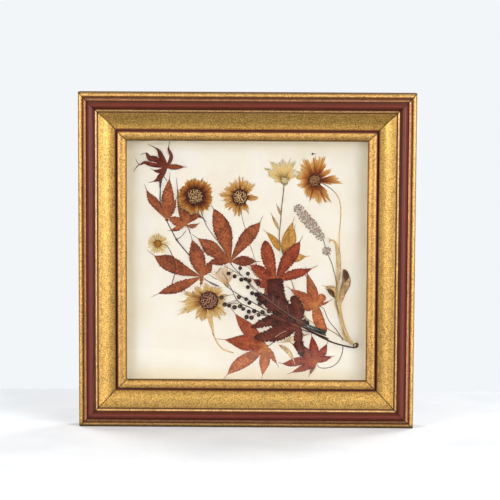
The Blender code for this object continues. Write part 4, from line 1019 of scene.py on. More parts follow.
placed = add(ray_tree, "InstanceOnPoints",
             {"Points": rooted, "Instance": ray, "Rotation": facing, "Scale": scale})
real = add(ray_tree, "RealizeInstances", [placed])
here = add(ray_tree, "InputPosition")
root = add(ray_tree, "InputNamedAttribute", ["foot"], "FLOAT_VECTOR")
far = add(ray_tree, "InputNamedAttribute", ["along"])
chance = add(ray_tree, "RandomValue", {2: 0.0, 3: 1.0, "Seed": given["Seed"]})
at_end = add(ray_tree, "MapRange", [far, 0.8, 1.0])
torn = add(ray_tree, "Math", [chance.outputs[1], at_end], "MULTIPLY")
tear = add(ray_tree, "Math", [torn, given["Fray"]], "MULTIPLY")
frayed = add(ray_tree, "Mix", {0: tear, 4: here, 5: root}, "VECTOR")
drift = add(ray_tree, "TexNoise", {"Vector": here, "Scale": 0.22, "Detail": 2.0})
centred = add(ray_tree, "VectorMath", [drift.outputs["Color"], (0.5, 0.5, 0.5)], "SUBTRACT")
sway = add(ray_tree, "Math", [far, given["Bend"]], "MULTIPLY")
flat_sway = add(ray_tree, "CombineXYZ", [sway, 0.0, sway])
bent = add(ray_tree, "VectorMath", [centred, flat_sway, frayed.outputs[1]], "MULTIPLY_ADD")
ragged = add(ray_tree, "SetPosition", {"Geometry": real, "Position": bent})
end_tree(ray_tree, ragged.outputs[0], given["Finish"])

# %% The floret tree
GOLDEN_ANGLE = 2.399963
floret_tree, given = new_tree("tangled_florets", [
    ("Count", "Int", 120), ("Radius", "Float", 7.0), ("Rise", "Float", 0.7), ("Length", "Float", 3.2),
    ("Thickness", "Float", 0.13), ("Seed", "Int", 1), ("Finish", "Material", None)])
row = add(floret_tree, "MeshLine", {"Count": given["Count"]})
index = add(floret_tree, "InputIndex")
golden = add(floret_tree, "Math", [index, GOLDEN_ANGLE], "MULTIPLY")
share = add(floret_tree, "Math", [index, given["Count"]], "DIVIDE")
outward = add(floret_tree, "Math", [share], "SQRT")
distance = add(floret_tree, "Math", [outward, given["Radius"]], "MULTIPLY")
sine = add(floret_tree, "Math", [golden], "SINE")
cosine = add(floret_tree, "Math", [golden], "COSINE")
to_x = add(floret_tree, "Math", [cosine, distance], "MULTIPLY")
to_z = add(floret_tree, "Math", [sine, distance], "MULTIPLY")
dome = add(floret_tree, "Math", [share, 1.15], "SUBTRACT")
to_y = add(floret_tree, "Math", [dome, given["Rise"]], "MULTIPLY")
seat = add(floret_tree, "CombineXYZ", [to_x, to_y, to_z])
seated = add(floret_tree, "SetPosition", {"Geometry": row, "Position": seat})
rimmed = add(floret_tree, "StoreNamedAttribute", {"Geometry": seated, "Name": "across", "Value": outward})
luck = add(floret_tree, "RandomValue", {2: 0.0, 3: 1.0, "Seed": given["Seed"]})
shaded = add(floret_tree, "StoreNamedAttribute",
             {"Geometry": rimmed, "Name": "shade", "Value": luck.outputs[1]})
arc = add(floret_tree, "CurveQuadraticBezier",
          {"Resolution": 5, "Start": (-0.5, 0.0, 0.0), "Middle": (0.0, -0.1, 0.42), "End": (0.5, -0.05, 0.0)})
part = add(floret_tree, "SplineParameter")
arc_along = add(floret_tree, "StoreNamedAttribute", {"Geometry": arc, "Name": "along", "Value": part})
stretch = add(floret_tree, "Transform", {"Geometry": arc_along})
long_scale = add(floret_tree, "CombineXYZ",
                 [given["Length"], given["Length"], given["Length"]])
feed(stretch, {"Scale": long_scale})
section_ring = add(floret_tree, "CurvePrimitiveCircle",
                   {"Resolution": 4, "Radius": given["Thickness"]})
thread = add(floret_tree, "CurveToMesh", {"Curve": stretch, "Profile Curve": section_ring, "Fill Caps": True})
tumble = add(floret_tree, "RandomValue",
             {0: (-0.18, -3.14, -0.18), 1: (0.18, 3.14, 0.18), "Seed": given["Seed"]}, "FLOAT_VECTOR")
tangled = add(floret_tree, "InstanceOnPoints", {"Points": shaded, "Instance": thread, "Rotation": tumble})
button = add(floret_tree, "MeshUVSphere", {"Segments": 28, "Rings": 10, "Radius": 1.0})
button_size = add(floret_tree, "CombineXYZ",
                  [given["Radius"], given["Radius"], given["Rise"]])
button_at = add(floret_tree, "Math", [given["Rise"], -0.1], "MULTIPLY")
button_place = add(floret_tree, "CombineXYZ", [0.0, button_at, 0.0])
flat_button = add(floret_tree, "Transform", {"Geometry": button, "Translation": button_place,
                                             "Rotation": (math.pi / 2, 0.0, 0.0), "Scale": button_size})
dark_button = add(floret_tree, "StoreNamedAttribute",
                  {"Geometry": flat_button, "Name": "across", "Value": 1.4})
together = add(floret_tree, "JoinGeometry")
feed(together, {0: dark_button})
feed(together, {0: tangled})
end_tree(floret_tree, together.outputs[0], given["Finish"])
print(f"{len(ray_tree.nodes)} nodes in the ray tree, {len(floret_tree.nodes)} in the floret tree")

# %% The rays' and florets' finishes
def ray_finish(name, base, body, tip, edge, dark_to=0.3):
    """A dried ray: dark where it leaves the button, and pale and thin at its frayed end."""
    material, tree, shader = new_finish(name)
    far, wide, luck = (add(tree, "Attribute", settings=label).outputs["Fac"]
                       for label in ("along", "across", "shade"))
    fine = texture(tree, "TexNoise", 0.9, {"Detail": 3.0})
    moved = add(tree, "Math", [luck, 0.22, far], "MULTIPLY_ADD")
    stirred = add(tree, "Math", [fine, 0.26, moved], "MULTIPLY_ADD")
    paler_from = max(0.7, dark_to + 0.28)
    tones = set_stops(add(tree, "ValToRGB", [stirred]),
                      [(dark_to, base), (dark_to + 0.25, body), (paler_from, body), (paler_from + 0.17, tip)])
    ribs = add(tree, "Math", [wide, 2.5], "MULTIPLY")
    rib = add(tree, "Math", [ribs, 1.0], "PINGPONG")
    share = add(tree, "MapRange", [rib, 0.0, 1.0, 0.0, 0.4])
    lined = add(tree, "Mix", {0: share, 6: tones, 7: linear(base)}, "RGBA")
    pale = add(tree, "MapRange", [stirred, 0.93, 1.18, 0.0, 0.85])
    thinned = add(tree, "Mix", {0: pale, 6: lined, 7: linear(edge)}, "RGBA")
    feed(shader, {"Base Color": thinned, "Roughness": 0.75, "Specular IOR Level": 0.1})
    return material


def floret_finish(name, dark, light):
    """Dry florets: light threads over a dark button, darker towards its rim."""
    material, tree, shader = new_finish(name)
    rim, luck = (add(tree, "Attribute", settings=label).outputs["Fac"]
                 for label in ("across", "shade"))
    fine = texture(tree, "TexNoise", 0.6, {"Detail": 3.0})
    centre = add(tree, "MapRange", [rim, 0.72, 0.98, 1.0, 0.0])
    lit = add(tree, "Math", [luck, 0.6, fine], "MULTIPLY_ADD")
    level = add(tree, "Math", [lit, centre], "MULTIPLY")
    tones = set_stops(add(tree, "ValToRGB", [level]), [(0.25, dark), (0.8, light)])
    feed(shader, {"Base Color": tones, "Roughness": 0.8, "Specular IOR Level": 0.1})
    return material


# %% Rays of a flower
def ray_points(flower, look, seed):
    """A point for each ray, with its turn, reach, width and luck."""
    chance = np.random.default_rng(seed)
    x, z = flower["middle"]
    inner = flower["disc"] * look["inner"]
    rays = []
    if "rays" in flower:
        count, longest = flower["rays"]
        for index in range(count * look["crowd"]):
            turn = 360 * (index + chance.uniform(-0.4, 0.4)) / (count * look["crowd"])
            rays.append((turn, longest * chance.uniform(0.95, 1.27)))
    else:
        for turn, length, spread in flower["petals"]:
            for away in np.linspace(-0.8, 0.8, look["crowd"]):
                away = float(np.clip(away + chance.uniform(-0.1, 0.1), -0.92, 0.92))
                reach = length * math.cos(away * math.pi / 2) ** 0.24 * chance.uniform(0.92, 1.24)
                rays.append((turn + away * spread, reach))
    points, turns, reaches, widths, luck = [], [], [], [], []
    for index, (turn, reach) in enumerate(rays):
        angle = math.radians(turn)
        lift = 0.02 + 0.055 * chance.integers(0, 5)
        points.append((x + inner * math.cos(angle), -lift, z + inner * math.sin(angle)))
        turns.append(angle)
        reaches.append(max(1.0, reach - inner))
        widths.append(look["wide"] * chance.uniform(0.8, 1.2))
        luck.append(chance.uniform(-0.5, 0.5))
    mesh = bpy.data.meshes.new("ray_points")
    mesh.from_pydata(points, [], [])
    carry(mesh, turn=turns, reach=reaches, wide=widths, shade=luck)
    return mesh


def flower_meshes(flower, look, seed):
    """Rays, button of florets and stem of a flower, drawn on the board."""
    rays = grow(ray_points(flower, look, seed), ray_tree, {
        "Fray": look["fray"], "Bend": look["bend"], "Seed": seed, "Finish": look["ray"]}, thickness=0.08)
    radius = flower["disc"]
    florets = grow(bpy.data.meshes.new("empty"), floret_tree, {
        "Count": look["florets"], "Radius": radius, "Rise": look["rise"], "Length": look["thread"],
        "Thickness": look["fine"], "Seed": seed, "Finish": look["disc"]})
    x, z = flower["middle"]
    florets.transform(Matrix.Translation((x, -0.32, z)))
    width, way = flower["stem"]
    stem = stem_mesh([([flower["middle"]] + way, width * 0.85, width)], look["stem"])
    return [stem, rays, florets]

# %% [markdown]
# ## Buds and berries
# The lavender is a spike of small ribbed calyces in whorls, and the berries hang on twigs. Each
# is one small body that is set on many points: a drop for a bud and a flattened, wrinkled ball
# with a dent at its end for a berry. The points carry turn, length, width and a chance number for
# the colour, and the bodies have few faces because there are many of them.

# %% The bud tree
def end_wrinkled(tree, bodies, given, grain):
    """End a tree of small bodies: wrinkled, smooth and finished."""
    real = add(tree, "RealizeInstances", [bodies])
    rough = add(tree, "TexNoise", {"Vector": add(tree, "InputPosition"), "Scale": grain, "Detail": 2.0})
    centred = add(tree, "VectorMath", [rough.outputs["Color"], (0.5, 0.5, 0.5)], "SUBTRACT")
    push = add(tree, "VectorMath", {0: centred, "Scale": given["Wrinkle"]}, "SCALE")
    wrinkled = add(tree, "SetPosition", {"Geometry": real, "Offset": push})
    end_tree(tree, wrinkled.outputs[0], given["Finish"])


bud_tree, given = new_tree("dry_buds", [("Wrinkle", "Float", 0.35), ("Finish", "Material", None)])
ball = add(bud_tree, "MeshUVSphere", {"Segments": 8, "Rings": 6, "Radius": 0.5})
at = add(bud_tree, "InputPosition")
parts = add(bud_tree, "SeparateXYZ", [at])
along = add(bud_tree, "Math", [parts, 0.5], "ADD")
kept = add(bud_tree, "StoreNamedAttribute", {"Geometry": ball, "Name": "along", "Value": along})
swell = add(bud_tree, "MapRange", [along, 0.0, 1.0, 0.6, 1.15])
deep = add(bud_tree, "Math", [parts.outputs[1], swell], "MULTIPLY")
broad = add(bud_tree, "Math", [parts.outputs[2], swell], "MULTIPLY")
drop = add(bud_tree, "CombineXYZ", [along, deep, broad])
bud = add(bud_tree, "SetPosition", {"Geometry": kept, "Position": drop})
turn, reach, wide = (add(bud_tree, "InputNamedAttribute", [label]) for label in ("turn", "reach", "wide"))
against = add(bud_tree, "Math", [turn, -1.0], "MULTIPLY")
facing = add(bud_tree, "CombineXYZ", [0.0, against, 0.0])
flat = add(bud_tree, "Math", [wide, 0.5], "MULTIPLY")
scale = add(bud_tree, "CombineXYZ", [reach, flat, wide])
placed = add(bud_tree, "InstanceOnPoints",
             {"Points": given["Geometry"], "Instance": bud, "Rotation": facing, "Scale": scale})
end_wrinkled(bud_tree, placed, given, 1.1)

# %% The berry tree
berry_tree, given = new_tree("pressed_berries", [("Flatness", "Float", 0.42), ("Wrinkle", "Float", 0.4),
                                                 ("Finish", "Material", None)])
ball = add(berry_tree, "MeshIcoSphere", {"Radius": 1.0, "Subdivisions": 4})
at = add(berry_tree, "InputPosition")
parts = add(berry_tree, "SeparateXYZ", [at])
flat_at = add(berry_tree, "CombineXYZ", [parts, 0.0, parts.outputs[2]])
outward = add(berry_tree, "VectorMath", [flat_at], "LENGTH")
kept = add(berry_tree, "StoreNamedAttribute",
           {"Geometry": ball, "Name": "across", "Value": outward.outputs["Value"]})
dent = add(berry_tree, "MapRange", {"Value": outward.outputs["Value"], "From Min": 0.12, "From Max": 0.42,
                                    "To Min": 0.45, "To Max": 0.0}, {"interpolation_type": "SMOOTHSTEP"})
raised = add(berry_tree, "Math", [parts.outputs[1], dent], "ADD")
squashed = add(berry_tree, "Math", [raised, given["Flatness"]], "MULTIPLY")
shaped = add(berry_tree, "CombineXYZ", [parts, squashed, parts.outputs[2]])
berry = add(berry_tree, "SetPosition", {"Geometry": kept, "Position": shaped})
size = add(berry_tree, "InputNamedAttribute", ["wide"])
placed = add(berry_tree, "InstanceOnPoints",
             {"Points": given["Geometry"], "Instance": berry, "Scale": size})
end_wrinkled(berry_tree, placed, given, 0.8)

# %% Finishes of buds and berries
lavender_finish, tree, shader = new_finish("dried_lavender")
far, luck = (add(tree, "Attribute", settings=label).outputs["Fac"]
             for label in ("along", "shade"))
fine = texture(tree, "TexNoise", 0.8, {"Detail": 3.0})
level = add(tree, "Math", [luck, 0.5, far], "MULTIPLY_ADD")
mixed = add(tree, "Math", [fine, 0.5, level], "MULTIPLY_ADD")
# each bud is darkest at its base: painted shade for the gaps between the buds of a whorl, over each bud's own
# random tone
tones = set_stops(add(tree, "ValToRGB", [mixed]),
                  [(0.34, "#47352b"), (0.5, "#a8917e"), (0.82, "#e4d6c6"), (1.0, "#a58d78")])
feed(shader, {"Base Color": tones, "Roughness": 0.85})

berry_finish, tree, shader = new_finish("dark_dried_berry")
out, luck = (add(tree, "Attribute", settings=label).outputs["Fac"]
             for label in ("across", "shade"))
fine = texture(tree, "TexNoise", 1.2, {"Detail": 4.0})
# the pale outermost band is a painted highlight round each berry's rim
rings = set_stops(add(tree, "ValToRGB", [out]), [(0.0, "#1a0b09"), (0.16, "#1d0d0a"), (0.26, "#80604f"),
                                                 (0.36, "#43241b"), (0.6, "#34170f"), (0.92, "#2c120d"),
                                                 (1.0, "#7d5548")])
bloom = add(tree, "MapRange", [fine, 0.5, 0.75, 0.0, 0.35])
dusty = add(tree, "Mix", {0: bloom, 6: rings, 7: linear("#6a4638")}, "RGBA")
feed(shader, {"Base Color": dusty, "Roughness": 0.55, "Specular IOR Level": 0.2})
print(f"{len(bud_tree.nodes)} nodes in the bud tree, {len(berry_tree.nodes)} in the berry tree")


# %% [markdown]
# ## The drawings of the plants
# Each specimen is drawn once, in millimetres from the middle of the opening, and the solid model
# was made from the same drawing, so the fine pieces lie where the solids do.

# %% Palmate leaves: hub, lobes counterclockwise, and stalk as (radius, way)
# some lobes are rounded, because they folded or tore in the press and their ends are blunt
LEAVES = {
    "leaf_curled_maroon": {"hub": (-73, 84.5), "lobes": [
        lobe(5.1, 0.45, [(-54.5, 84.5)]),
        lobe(3.5, 0.35, [(-69, 93.5), (-71.5, 101.5), (-70, 108)]),
        lobe(4.7, 0.35, [(-78, 94), (-81.5, 100.5), (-90.5, 105)]),
        lobe(5.6, 0.4, [(-82.5, 91), (-88.5, 92.5), (-92, 97), (-97, 95)]),
        lobe(4, 0.3, [(-86.5, 86.5), (-93, 88.5), (-98, 86.5), (-101.5, 92)]),
        lobe(3.8, 0.5, [(-80.5, 80.5), (-88, 83)]),
        lobe(5.1, 0.4, [(-78.5, 76), (-83, 72), (-90, 70)]),
    ], "stalk": (0.5, [(-76.5, 77), (-78.5, 68.5), (-79, 61), (-79, 52.5), (-77.5, 44.5)])},
    "leaf_left_tall": {"hub": (-73, 36.5), "lobes": [
        lobe(6.4, 0.5, [(-68, 47.5), (-63.5, 58)]),
        lobe(11.5, 0.5, [(-72, 58), (-70, 80)]),
        lobe(8.2, 0.52, [(-83, 50.5), (-89, 58.5), (-93.5, 68.5)]),
    ], "stalk": (0.5, [(-72, 33), (-68, 25.5), (-64, 18), (-58.5, 11), (-51.5, 3)])},
    "leaf_left_small": {"hub": (-56, 32), "lobes": [
        lobe(4, 0.6, [(-49.5, 30.5), (-42.5, 34)]),
        lobe(6, 0.5, [(-50, 38), (-44, 40), (-36.5, 34.5)]),
        lobe(6.4, 0.45, [(-54, 43.5), (-52.5, 52)]),
        lobe(6.9, 0.28, [(-59.5, 45.5), (-62.5, 59), (-64.5, 75)]),
        lobe(8.2, 0.55, [(-65, 35.5), (-74, 40)]),
        lobe(4.4, 0.5, [(-64.5, 28), (-72.5, 26)]),
    ], "stalk": (0.4, [(-53, 28), (-51.5, 23.5)])},
    "leaf_left_broad": {"hub": (-41, -15.5), "lobes": [
        lobe(8.2, 0.6, [(-36, -8.5), (-30.5, -0.5)]),
        lobe(14, 0.52, [(-46, 4.5), (-51.5, 23.5)]),
        lobe(14.2, 0.56, [(-56.5, -10.5), (-72, -3), (-81.5, 1.5), (-91, 8.5)]),
        lobe(9.8, 0.52, [(-53.5, -21.5), (-65.5, -26.5), (-78, -30.5), (-87, -34.5)]),
        lobe(3.1, 0.4, [(-42, -25.5)]),
    ], "stalk": (0.4, [(-36.5, -19), (-31, -22.5), (-25.5, -24.5)])},
    "leaf_centre": {"hub": (-15, -1.5), "lobes": [
        lobe(9.5, 0.58, [(-2.5, -1), (13, -1.5)]),
        lobe(12.4, 0.52, [(-5.5, 13), (3.5, 24.5), (10.5, 32.5), (14.5, 40.5)]),
        lobe(15.9, 0.52, [(-19, 16.5), (-23.5, 31), (-29, 44), (-33, 50.5)]),
        lobe(13.3, 0.52, [(-29.5, 8), (-39, 15.5), (-50.5, 23.5)]),
        lobe(7.7, 0.5, [(-27, -1.5), (-39, -4)]),
    ], "stalk": (0.4, [(-14, -5)])},
    "leaf_brick_red": {"hub": (26, -20), "lobes": [
        lobe(8.9, 0.52, [(39.5, -14), (53.5, -10), (65, -4.5)]),
        lobe(12.6, 0.54, [(35.5, -2.5), (45, 11.5), (51, 22.5)]),
        lobe(12.2, 0.58, [(20, 0), (16.5, 18)], rounded=0.8),
        lobe(10.9, 0.56, [(11.5, -10.5), (0, -2)]),
        lobe(8.6, 0.55, [(14, -21.5), (2.5, -16)]),
        lobe(6.4, 0.5, [(19.5, -26.5), (15, -35)]),
    ], "stalk": (0.4, [(31.5, -30)])},
    "leaf_right": {"hub": (63, -41.5), "lobes": [
        lobe(2.7, 0.4, [(71.5, -39.5), (78.5, -35.5)]),
        lobe(7.3, 0.75, [(66.5, -37.5), (70.5, -31.5)], rounded=0.55),
        lobe(9.8, 0.46, [(59, -25.5), (53, -5.5)]),
        lobe(9.7, 0.5, [(50.5, -33.5), (35.5, -23.5)]),
        lobe(8.2, 0.55, [(55.5, -43), (48, -43.5)]),
        lobe(10, 0.45, [(65, -52), (68, -59.5), (73, -65.5)], rounded=0.5),
    ], "stalk": (0.35, [(70, -44), (73.5, -52), (77, -58), (81.5, -63), (85, -68), (88.5, -74)])},
    "leaf_lower_small": {"hub": (63.5, -94), "lobes": [
        lobe(5.3, 0.5, [(72.5, -90.5), (81, -88)]),
        lobe(7.5, 0.5, [(70, -84.5), (75, -74)]),
        lobe(8.4, 0.5, [(61.5, -80), (59, -65.5)]),
        lobe(9.1, 0.5, [(51, -83), (38, -74.5)]),
        lobe(7.8, 0.5, [(50, -93), (37.5, -95.5), (29, -94.5)]),
        lobe(6.6, 0.48, [(52, -99.5), (37, -105.5)]),
        lobe(3.3, 0.4, [(57, -108)]),
    ], "stalk": (0.35, [(66.5, -98.5), (72, -99.5), (78.5, -98), (84, -93.5), (87.5, -86), (88.5, -79)])},
    "leaf_lower_left": {"hub": (18.5, -79.5), "lobes": [
        lobe(12.2, 0.5, [(6, -68.5), (-5.5, -56), (-14.5, -44)]),
        lobe(14.8, 0.52, [(4, -77), (-10.5, -75), (-29, -72.5)]),
        lobe(11.7, 0.48, [(5.5, -88.5), (-7, -96.5), (-15.5, -104), (-21, -110.5)]),
        lobe(9.8, 0.5, [(16.5, -95), (14, -110.5)]),
        lobe(5.3, 0.48, [(23.5, -88.5), (30, -99)]),
    ], "stalk": (0.4, [(22, -78), (25, -75)])},
    "leaf_dark_purple": {"hub": (46, -58.5), "lobes": [
        lobe(6.5, 0.5, [(52, -57.5), (57.5, -58.5)], rounded=0.6),
        lobe(10.5, 0.5, [(47, -46), (42, -32.5)], rounded=0.4),
        lobe(15.8, 0.62, [(38, -50), (28.8, -38), (26.5, -27), (25.5, -16.8)], rounded=0.12),
        lobe(9.5, 0.55, [(31, -47.5), (19, -38.5), (8, -30)], rounded=0.5),
        lobe(10, 0.5, [(31.5, -53.5), (18, -57), (4, -62.5)], rounded=0.8),
        lobe(14.5, 0.42, [(34.5, -64.5), (22, -69.3), (6.5, -71.5)], rounded=0.7),
        lobe(8.2, 0.5, [(47.8, -66.5), (47.4, -74), (49.6, -81.5), (51.4, -89)], rounded=0.4),
    ], "stalk": (0.75, [(59.5, -66), (70.5, -72), (83.5, -77), (98.5, -79.5), (101, -76.5)])},
}

# %% Single leaves and blades: one lobe each, from the base to the tip
BLADES = {
    "ochre_leaf_tall": lobe(8.6, 0.45, [(32.5, 7), (38, 24), (43.5, 40)]),
    "ochre_leaf_broad": lobe(10.9, 0.5, [(33.5, 6.5), (40, 19.5), (44, 33)]),
    "ochre_leaf_left": lobe(6.4, 0.5, [(30, 8), (24.5, 18.5), (14.5, 28.5)]),
    "ochre_leaf_right": lobe(8.2, 0.5, [(38.5, 2.5), (46.5, 2.5), (57.5, 4)]),
    "tan_leaf_curled": lobe(4.2, 0.45, [(83.5, -27), (84, -7), (83, 8), (80, 16), (73.5, 21)]),
    "brown_leaf_curled": lobe(7.8, 0.62, [(83, -39), (80.5, -31), (75.5, -25.5), (69, -23)]),
    "brown_leaf_cupped": lobe(7.7, 0.6, [(86, -39), (88, -29), (91, -19), (89, -8)], rounded=0.55),
    "grass_blade": lobe(3.8, 0.55, [(57.5, -68), (45.5, -71), (34.5, -75), (28.5, -76)]),
    "grass_blade_twisted": lobe(4.2, 0.45, [(29.5, -78), (37, -83), (42.5, -90.5), (45, -98.5)]),
}

# %% Flowers: middle, disc radius, petals as (degrees, reach, spread in degrees), stem as (radius, way)
FLOWERS = {
    "flower_rust": {
        "middle": (-47, 58), "disc": 7.9, "rays": (24, 15.4),
        "stem": (0.35, [(-42, 44.5), (-37.5, 32.5), (-31, 22.5), (-22.5, 11.5), (-17, 1.5),
                        (-12, -7), (-3.5, -15.5), (6.5, -27.5)]),
    },
    "flower_yellow": {
        "middle": (-6.5, 57.5), "disc": 7.1,
        "petals": [(85, 18.4, 17), (110, 16.6, 15), (135, 17.1, 17), (155, 16.2, 15), (174, 17.8, 16),
                   (196, 16, 16), (219, 17.1, 19), (252, 17.3, 13), (268, 17.3, 14), (295, 15.9, 17),
                   (357, 17.1, 15), (43, 17.1, 19), (66, 15.9, 12)],
        "stem": (0.3, [(-5.5, 45), (-3.5, 35), (-0.5, 25.5), (4.5, 9), (10, -7.5)]),
    },
    "flower_orange": {
        "middle": (61.5, 73), "disc": 5.9,
        "petals": [(70, 23.3, 17), (95, 21.9, 19), (122, 21.3, 20), (150, 18.2, 18), (170, 17.1, 12),
                   (199, 16.8, 15), (232, 16.8, 18), (258, 19.1, 18), (281, 20.4, 15), (302, 22.8, 18),
                   (1, 26.1, 15), (35, 16.9, 8)],
        "stem": (0.55, [(67, 71), (76, 65.5), (82, 59), (85, 50), (85, 37),
                        (84, 22.5), (84.5, -1.5), (83, -18), (84, -34.5),
                        (89.5, -65), (94.5, -74.5), (99.5, -79)]),
    },
    "flower_straw": {
        "middle": (34, 72.5), "disc": 3.3,
        "petals": [(147, 21.8, 11), (126, 21.3, 11), (108, 20, 10), (92, 21.1, 10), (77, 20, 9),
                   (65, 21.7, 10), (47, 15, 10), (27, 12.2, 10), (163, 15.5, 9), (183, 9.5, 14)],
        "stem": (0.5, [(33.5, 69.5), (33, 63), (31.5, 48.5), (30.5, 35), (29.5, 20.5),
                       (32, 8.5), (37.5, -9), (45, -31), (54.5, -53), (72.5, -62),
                       (85.5, -70), (96.5, -77.5)]),
    },
    "flower_small_yellow": {
        "middle": (-81, 14.5), "disc": 3.2, "rays": (16, 10.2),
        "stem": (0.35, [(-78, 14.5), (-73, 12.5), (-69, 6), (-66, -3), (-65.5, -11),
                        (-68.5, -23)]),
    },
    "flower_tan": {
        "middle": (-34.5, -37.5), "disc": 8.6,
        "petals": [(202, 28.6, 12), (184, 25.5, 12), (165, 23.1, 14), (136, 18.9, 18), (100, 15.3, 22),
                   (70, 14.6, 16), (46, 15.3, 18), (13, 17.7, 18), (343, 16.9, 14), (320, 19.9, 16),
                   (302, 20.4, 16), (276, 18.2, 14), (252, 21.5, 14), (231, 20, 14)],
        "stem": (0.7, [(-35.5, -48), (-33, -58), (-30.5, -68), (-27.5, -75), (-21.5, -82.5),
                       (-11.5, -86)]),
    },
    "petal_fan": {
        "middle": (-18, -23.5), "disc": 1.6,
        "petals": [(131, 16.4, 16), (112, 17.3, 15), (95, 17.9, 14), (75, 13.7, 13)],
        "stem": (0.3, [(-17, -25.5)]),
    },
}

# %% The lavender: a spike of packed whorls, one loose whorl and a stem
LAVENDER_TIP = (43, 51)
LAVENDER_FOOT = (69, 20)
LAVENDER_WHORL = ((72.5, 8.5), 5.1)
LAVENDER_STEM = [(69, 20), (72.5, 8.5), (77.5, -3), (80, -12.5), (82, -22),
                 (81.5, -36), (84, -47), (87, -58), (90, -69), (97, -77)]

# %% Berry sprigs: the way of the stem from the far end to the cut, and the berries
BERRY = 2
SPRIGS = {
    "berry_sprig_upper": (
        [(-20.5, -5.5), (-11.5, -10.5), (-3.5, -15.5), (5, -24), (14, -32), (24, -39.5),
         (41.5, -51.5), (61, -62), (72.5, -66.5)],
        [(-6, -7.5), (1, -12.5), (-16.5, -12.5), (-11, -15), (-5, -18), (-1, -17.5),
         (2.5, -19), (1, -25), (5, -30.5), (8.5, -31.5), (10.5, -21), (24, -30),
         (28, -34.5), (35.5, -39.5)]),
    "berry_sprig_middle": (
        [(-21, -22), (-13.5, -28), (-4, -34), (3, -37.5), (11, -42), (31.5, -52.5),
         (51.5, -61), (73, -69)],
        [(-7, -34), (-0.5, -36), (2.5, -39.5), (11, -36), (12, -40), (16.5, -39),
         (20.5, -47), (26.5, -48), (30.5, -50), (39, -53.5), (44, -56), (51.5, -46.5)]),
    "berry_sprig_lower": (
        [(-16, -22.5), (-12, -31), (-9.5, -36), (-4.5, -40.5), (2.5, -43.5), (18, -51),
         (40, -60), (63.5, -68), (75, -72.5)],
        [(-23, -34.5), (-20, -41), (-16, -42), (-11, -43.5), (-6, -42.5), (-3, -45),
         (2, -47.5), (7, -47), (11, -50.5), (14.5, -48), (16.5, -55), (0, -52.5),
         (4.5, -53), (27, -57.5), (55, -57)]),
}
FLECK = ((59, 97), (62.5, 97.5))

# %% The order in which they are laid on the bare board
LAYING_ORDER = [
    "leaf_curled_maroon", "leaf_left_tall", "leaf_left_small", "flower_rust", "flower_yellow",
    "flower_tan", "leaf_left_broad", "flower_small_yellow", "petal_fan",
    "flower_straw", "ochre_leaf_right", "ochre_leaf_tall", "ochre_leaf_broad", "ochre_leaf_left",
    "leaf_right", "leaf_brick_red", "leaf_centre",
    "flower_orange", "lavender", "brown_leaf_curled", "brown_leaf_cupped", "tan_leaf_curled",
    "leaf_lower_left", "leaf_lower_small", "grass_blade", "grass_blade_twisted", "leaf_dark_purple",
    "berry_sprig_lower", "berry_sprig_middle", "berry_sprig_upper", "seed_fleck",
]

# %% [markdown]
# ## Every specimen, in its order
# The looks of each specimen stand beside its drawing: which finish it takes, how far each of its
# lobes leans to the finish's second colour, how big its teeth are and how much its edge has
# curled. Small strands that belong to one specimen, such as a tendril or a second thread of a
# stem, are listed with it. Then each is made and laid down in turn.

# %% How the leaves look
# name: slot, stalk, curl in mm, teeth (spacing, depth) in mm, each lobe's share of the other colour
LEAF_LOOKS = {
    "leaf_curled_maroon": ("maroon_leaf", "dark_stalk", 0.9, (1.5, 0.5), (1.0, 0.1, 0.0, 0.0, 0.2, 0.0, 0.5)),
    "leaf_left_tall": ("red_brown_leaf", "dark_stalk", 0.3, (2.4, 1.5), (0.5, 0.0, 0.2)),
    "leaf_left_small": ("red_brown_leaf", "dark_stalk", 0.4, (2.0, 1.1), (0.4, 1.0, 0.4, 0.5, 0.0, 0.0)),
    "leaf_left_broad": ("red_brown_leaf", "dark_stalk", 0.3, (2.6, 1.9), (0.3, 0.3, 0.5, 0.2, 0.5)),
    "leaf_centre": ("red_brown_leaf", "dark_stalk", 0.3, (2.6, 1.6), (1.0, 0.3, 0.1, 0.2, 0.9)),
    "leaf_brick_red": ("brick_red_leaf", "dark_stalk", 0.3, (2.4, 1.5), (0.2, 0.4, 1.0, 0.3, 0.5, 0.6)),
    "leaf_right": ("orange_leaf", "brown_stem", 0.35, (2.2, 0.8), (0.8, 0.1, 0.5, 0.5, 0.4, 0.1)),
    "leaf_lower_small": ("brick_red_leaf", "brown_stem", 0.3, (2.0, 0.8),
                         (0.2, 0.1, 0.2, 0.5, 0.3, 0.3, 0.6)),
    "leaf_lower_left": ("orange_leaf", "dark_stalk", 0.35, (2.5, 1.0), (1.0, 1.0, 0.15, 0.0, 0.1)),
    "leaf_dark_purple": ("dark_purple_leaf", "dark_stalk", 0.6, (2.9, 2.6),
                         (0.4, 0.5, 0.0, 0.3, 0.6, 0.8, 0.5)),
}
BLADE_LOOKS = {     # name: slot, curl in mm, teeth
    "ochre_leaf_tall": ("ochre_leaf", 0.25, (2.0, 0.25)),
    "ochre_leaf_broad": ("ochre_leaf", 0.3, (2.2, 0.25)),
    "ochre_leaf_left": ("ochre_leaf", 0.25, (2.0, 0.2)),
    "ochre_leaf_right": ("ochre_leaf", 0.25, (2.2, 0.25)),
    "tan_leaf_curled": ("tan_leaf", 0.8, (3.0, 0.35)),
    "brown_leaf_curled": ("brown_leaf", 1.2, (2.2, 0.5)),
    "brown_leaf_cupped": ("brown_leaf", 1.3, (2.2, 0.5)),
    "grass_blade": ("tan_leaf", 0.3, (9.0, 0.1)),
    "grass_blade_twisted": ("tan_leaf", 0.7, (7.0, 0.3)),
}
BLADE_SHADES = {"grass_blade": 1.0, "grass_blade_twisted": 0.7, "tan_leaf_curled": 0.7,
                "brown_leaf_cupped": 0.8, "ochre_leaf_broad": 0.0, "ochre_leaf_left": 0.6,
                "brown_leaf_curled": 0.3}

